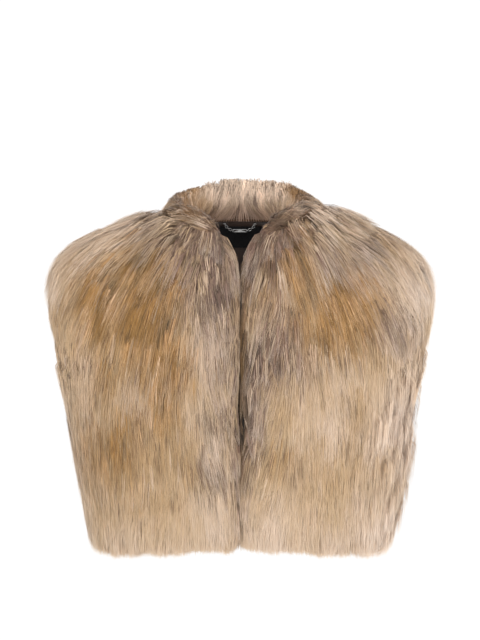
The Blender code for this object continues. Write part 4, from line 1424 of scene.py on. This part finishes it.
# ------------------------------------------------------------------ hanging chain
def bar_hole():
    return BAR_LONG / 2 - BAR_HIGH / 2 + 0.0002


def chain_places():
    start = np.array([bar_hole() + LINK_LONG / 2 - WIRE - BAR_HOLE * 0.1, 0.0])
    turns = np.linspace(math.radians(12), math.radians(64), LINKS_A_SIDE)
    at, places = start.copy(), []
    for i, turn in enumerate(turns):
        if i:
            mean = (turns[i - 1] + turn) / 2
            at = at + LINK_PITCH * np.array([math.cos(mean), math.sin(mean)])
        else:
            at = start + [0, LINK_PITCH * 0.2]
        places.append((at.copy(), turn))
    top, turn = places[-1]
    reach = LINK_LONG / 2 - 2 * WIRE - STAPLE_WIRE * 1.1
    return places, top + reach * np.array([math.cos(turn), math.sin(turn)])


def hang_plane(crossbar):
    line = half_section(HANG_Z, BACK)
    face = float(np.interp(crossbar + STAPLE_WIDE / 2, line[:, 0], line[:, 1]))
    return face - (PELT + LAYER + LINING) * BACK_SLOPE - SEAM - STAPLE_REACH


def tube(points, closed, radius, sides=12):
    """Vertices and faces of a round wire through points."""
    points = np.asarray(points, float)
    n = len(points)
    if closed:
        tangent = unit(np.roll(points, -1, 0) - np.roll(points, 1, 0))
    else:
        tangent = unit(np.gradient(points, axis=0))
    ref = np.array([0, 1.0, 0]) if np.abs(tangent[:, 1]).max() < 0.9 else np.array([0, 0, 1.0])
    a = unit(np.cross(tangent, ref))
    b = np.cross(tangent, a)
    turn = np.linspace(0, 2 * math.pi, sides, endpoint=False)
    rings = points[:, None] + radius * (np.cos(turn)[None, :, None] * a[:, None] + np.sin(turn)[None, :, None] * b[:, None])
    faces = []
    for i in range(n if closed else n - 1):
        j = (i + 1) % n
        for k in range(sides):
            m = (k + 1) % sides
            faces.append((i * sides + k, i * sides + m, j * sides + m, j * sides + k))
    if not closed:
        faces.append(tuple(range(sides))[::-1])
        faces.append(tuple((n - 1) * sides + k for k in range(sides)))
    return rings.reshape(-1, 3), faces


def mesh_object(name, verts, faces):
    mesh = bpy.data.meshes.new(name)
    mesh.from_pydata([tuple(v) for v in verts], [], faces)
    bm = bmesh.new()
    bm.from_mesh(mesh)
    bmesh.ops.recalc_face_normals(bm, faces=bm.faces)
    bm.to_mesh(mesh)
    bm.free()
    mesh.shade_smooth()
    mesh.set_sharp_from_angle(angle=math.radians(55))
    return link(mesh, name)


def oval(long, wide, wire, steps=40):
    """The middle line of a link along X in the XZ plane: two straights and two half rounds."""
    r, s = wide / 2 - wire, (long - wide) / 2
    a = np.linspace(-math.pi / 2, math.pi / 2, steps // 2)
    right = np.stack([s + r * np.cos(a), np.zeros_like(a), r * np.sin(a)], 1)
    left = np.stack([-s - r * np.cos(a), np.zeros_like(a), -r * np.sin(a)], 1)
    return np.concatenate([right, left])


def build_chain():
    places, crossbar = chain_places()
    depth = hang_plane(crossbar[0])
    origin = np.array([0, depth, HANG_Z])
    for hand, word in ((-1, "left"), (1, "right")):
        for i, (at, turn) in enumerate(places):
            line = oval(LINK_LONG, LINK_WIDE, WIRE)
            roll = math.pi / 2 if i % 2 == 0 else 0.0
            spin = -turn if hand > 0 else turn - math.pi
            turned = Matrix.Rotation(spin, 3, "Y") @ Matrix.Rotation(roll, 3, "X")
            line = line @ np.array(turned).T + origin + [hand * at[0], 0, at[1] - crossbar[1]]
            verts, faces = tube(line, True, WIRE)
            name = f"hanger_link_{word}_{i + 1}"
            dress(mesh_object(f"chain_{word}_{i + 1}", verts, faces), STEEL, "metal", "hanger", name)
        # staple: a bent wire with its legs running back to the lining
        half, round_by = STAPLE_WIDE / 2 - STAPLE_WIRE, 0.0011
        line = [(-half, STAPLE_REACH - 2 * SEAM), (-half, STAPLE_REACH / 2)]
        for k in range(9):
            a = math.pi + (math.pi / 2) * k / 8
            line.append((-half + round_by + round_by * math.cos(a), round_by + round_by * math.sin(a)))
        line += [(-px, py) for px, py in line[::-1]]
        line = np.array([(px, py, 0) for px, py in line]) + origin + [hand * crossbar[0], 0, 0]
        verts, faces = tube(line, False, STAPLE_WIRE)
        dress(mesh_object(f"staple_{word}", verts, faces), STEEL, "metal", "vest", f"hanger_staple_{word}")

    # bar: a rounded flat plate with a hole at each end, its edges eased
    steps, hole_steps = 20, 24
    r, s = BAR_HIGH / 2, BAR_LONG / 2 - BAR_HIGH / 2
    a = np.linspace(-math.pi / 2, math.pi / 2, steps)
    rim = [(s + r * math.cos(v), r * math.sin(v)) for v in a] + [(-s - r * math.cos(v), -r * math.sin(v)) for v in a]
    curve = bpy.data.curves.new("hanger_plate", "CURVE")
    curve.dimensions = "2D"
    curve.fill_mode = "BOTH"
    ease_by = 0.00018
    curve.extrude = BAR_THICK / 2 - ease_by
    curve.bevel_depth = ease_by
    curve.bevel_resolution = 2
    curve.offset = -ease_by
    outlines = [rim] + [
        [(h * bar_hole() + BAR_HOLE * math.cos(v), BAR_HOLE * math.sin(v)) for v in np.linspace(0, 2 * math.pi, hole_steps, endpoint=False)]
        for h in (-1, 1)
    ]
    for outline in outlines:
        spline = curve.splines.new("POLY")
        spline.points.add(len(outline) - 1)
        for point, (px, py) in zip(spline.points, outline):
            point.co = (px, py, 0, 1)
        spline.use_cyclic_u = True
    flat = bpy.data.objects.new("hanger_plate_curve", curve)
    bpy.context.scene.collection.objects.link(flat)
    bpy.context.view_layer.update()
    mesh = bpy.data.meshes.new_from_object(flat.evaluated_get(bpy.context.evaluated_depsgraph_get()))
    bpy.data.objects.remove(flat, do_unlink=True)
    mesh.transform(Matrix.Translation(Vector(origin) + Vector((0, 0, -crossbar[1]))) @ Matrix.Rotation(math.pi / 2, 4, "X"))
    bm = bmesh.new()
    bm.from_mesh(mesh)
    bmesh.ops.remove_doubles(bm, verts=bm.verts, dist=0.00001)
    bmesh.ops.recalc_face_normals(bm, faces=bm.faces)
    bm.to_mesh(mesh)
    bm.free()
    mesh.name = "hanger_plate"
    mesh.materials.clear()
    mesh.shade_smooth()
    mesh.set_sharp_from_angle(angle=math.radians(40))
    dress(link(mesh, "hanger_plate"), STEEL, "metal", "hanger", "hanger_bar")


# ------------------------------------------------------------------ stage, light and camera
def build_stage():
    mesh = bpy.data.meshes.new("floor")
    bm = bmesh.new()
    bmesh.ops.create_grid(bm, x_segments=8, y_segments=8, size=30)
    bm.to_mesh(mesh)
    bm.free()
    floor = link(mesh, "floor")
    floor.location = (0, 0, -1.45)
    made, tree, shader = new_material("floor")
    shader.inputs["Base Color"].default_value = (0.95, 0.95, 0.95, 1)
    shader.inputs["Roughness"].default_value = 0.9
    shader.inputs["Specular IOR Level"].default_value = 0.1
    mesh.materials.append(made)

    world = bpy.data.worlds.new("studio")
    world.use_nodes = True
    world.node_tree.nodes["Background"].inputs["Color"].default_value = (1, 1, 1, 1)
    world.node_tree.nodes["Background"].inputs["Strength"].default_value = 1.08
    bpy.context.scene.world = world

    def area(name, place, aim, size, power):
        light = bpy.data.lights.new(name, "AREA")
        light.shape = "RECTANGLE"
        light.size, light.size_y = size
        light.energy = power
        obj = bpy.data.objects.new(name, light)
        obj.location = place
        obj.rotation_euler = (Vector(aim) - Vector(place)).to_track_quat("-Z", "Y").to_euler()
        bpy.context.scene.collection.objects.link(obj)

    area("key", (-1.1, -2.2, 1.6), (0, 0, -0.15), (1.4, 1.4), 22)
    area("fill", (1.8, -2.0, 0.6), (0, 0, -0.2), (1.6, 1.6), 15)
    area("side_left", (-2.4, 0.3, 0.2), (0, 0, -0.2), (1.2, 1.6), 7)
    area("side_right", (2.4, 0.3, 0.2), (0, 0, -0.2), (1.2, 1.6), 12)

    scene = bpy.context.scene
    scene.view_settings.view_transform = "Standard"
    scene.view_settings.look = "None"


MM_A_PIXEL = 0.00133
LENS_DISTANCE = 3.2
LENS_RISE = math.radians(2.5)


def build_camera():
    camera = bpy.data.cameras.new("camera")
    camera.sensor_fit = "VERTICAL"
    camera.sensor_height = 36
    camera.lens = 36 * LENS_DISTANCE / (640 * MM_A_PIXEL)
    obj = bpy.data.objects.new("camera", camera)
    aim = Vector((0.0, 0.0, (222 - 320) * MM_A_PIXEL))
    obj.location = aim + LENS_DISTANCE * Vector((0, -math.cos(LENS_RISE), math.sin(LENS_RISE)))
    obj.rotation_euler = (aim - obj.location).to_track_quat("-Z", "Y").to_euler()
    bpy.context.scene.collection.objects.link(obj)
    bpy.context.scene.camera = obj


# ------------------------------------------------------------------ the vest
SHARE = 1.0
WIDER = SHARE**-0.5  # fewer strands are wider
HAIRS = table(  # a quarter of the coat in each row
    "side hand strands seed width",
    (FRONT, -1, 85000, 11, 0.00073),
    (FRONT, 1, 85000, 12, 0.00073),
    (BACK, -1, 42000, 13, 0.00092),
    (BACK, 1, 42000, 14, 0.00092),
)

build_stage()
build_camera()
cloth = build_cloth()
build_chain()

hairs = {"front_left": [], "front_right": [], "back": []}
for side, hand, count, seed, width in zip(*HAIRS.values()):
    word = "left" if hand < 0 else "right"
    panel = "back" if side == BACK else f"front_{word}"
    name = f"hair_back_{word}" if side == BACK else f"hair_front_{word}"
    for piece in panel_hair(name, side, hand, int(count * SHARE), int(seed), width * WIDER):
        hairs[panel].append(dress(piece, FUR, "fur", "vest", f"{panel}_pile"))
collar = [dress(collar_hair("hair_collar", int(42000 * SHARE), 15), FUR, "fur", "vest", "collar_pile")]
for hand, word in ((-1, "left"), (1, "right")):
    piece = drape_hair(f"hair_collar_front_{word}", hand, int(7500 * SHARE), 16 + (hand > 0))
    collar.append(dress(piece, FUR, "fur", "vest", "collar_pile"))

bpy.context.view_layer.update()
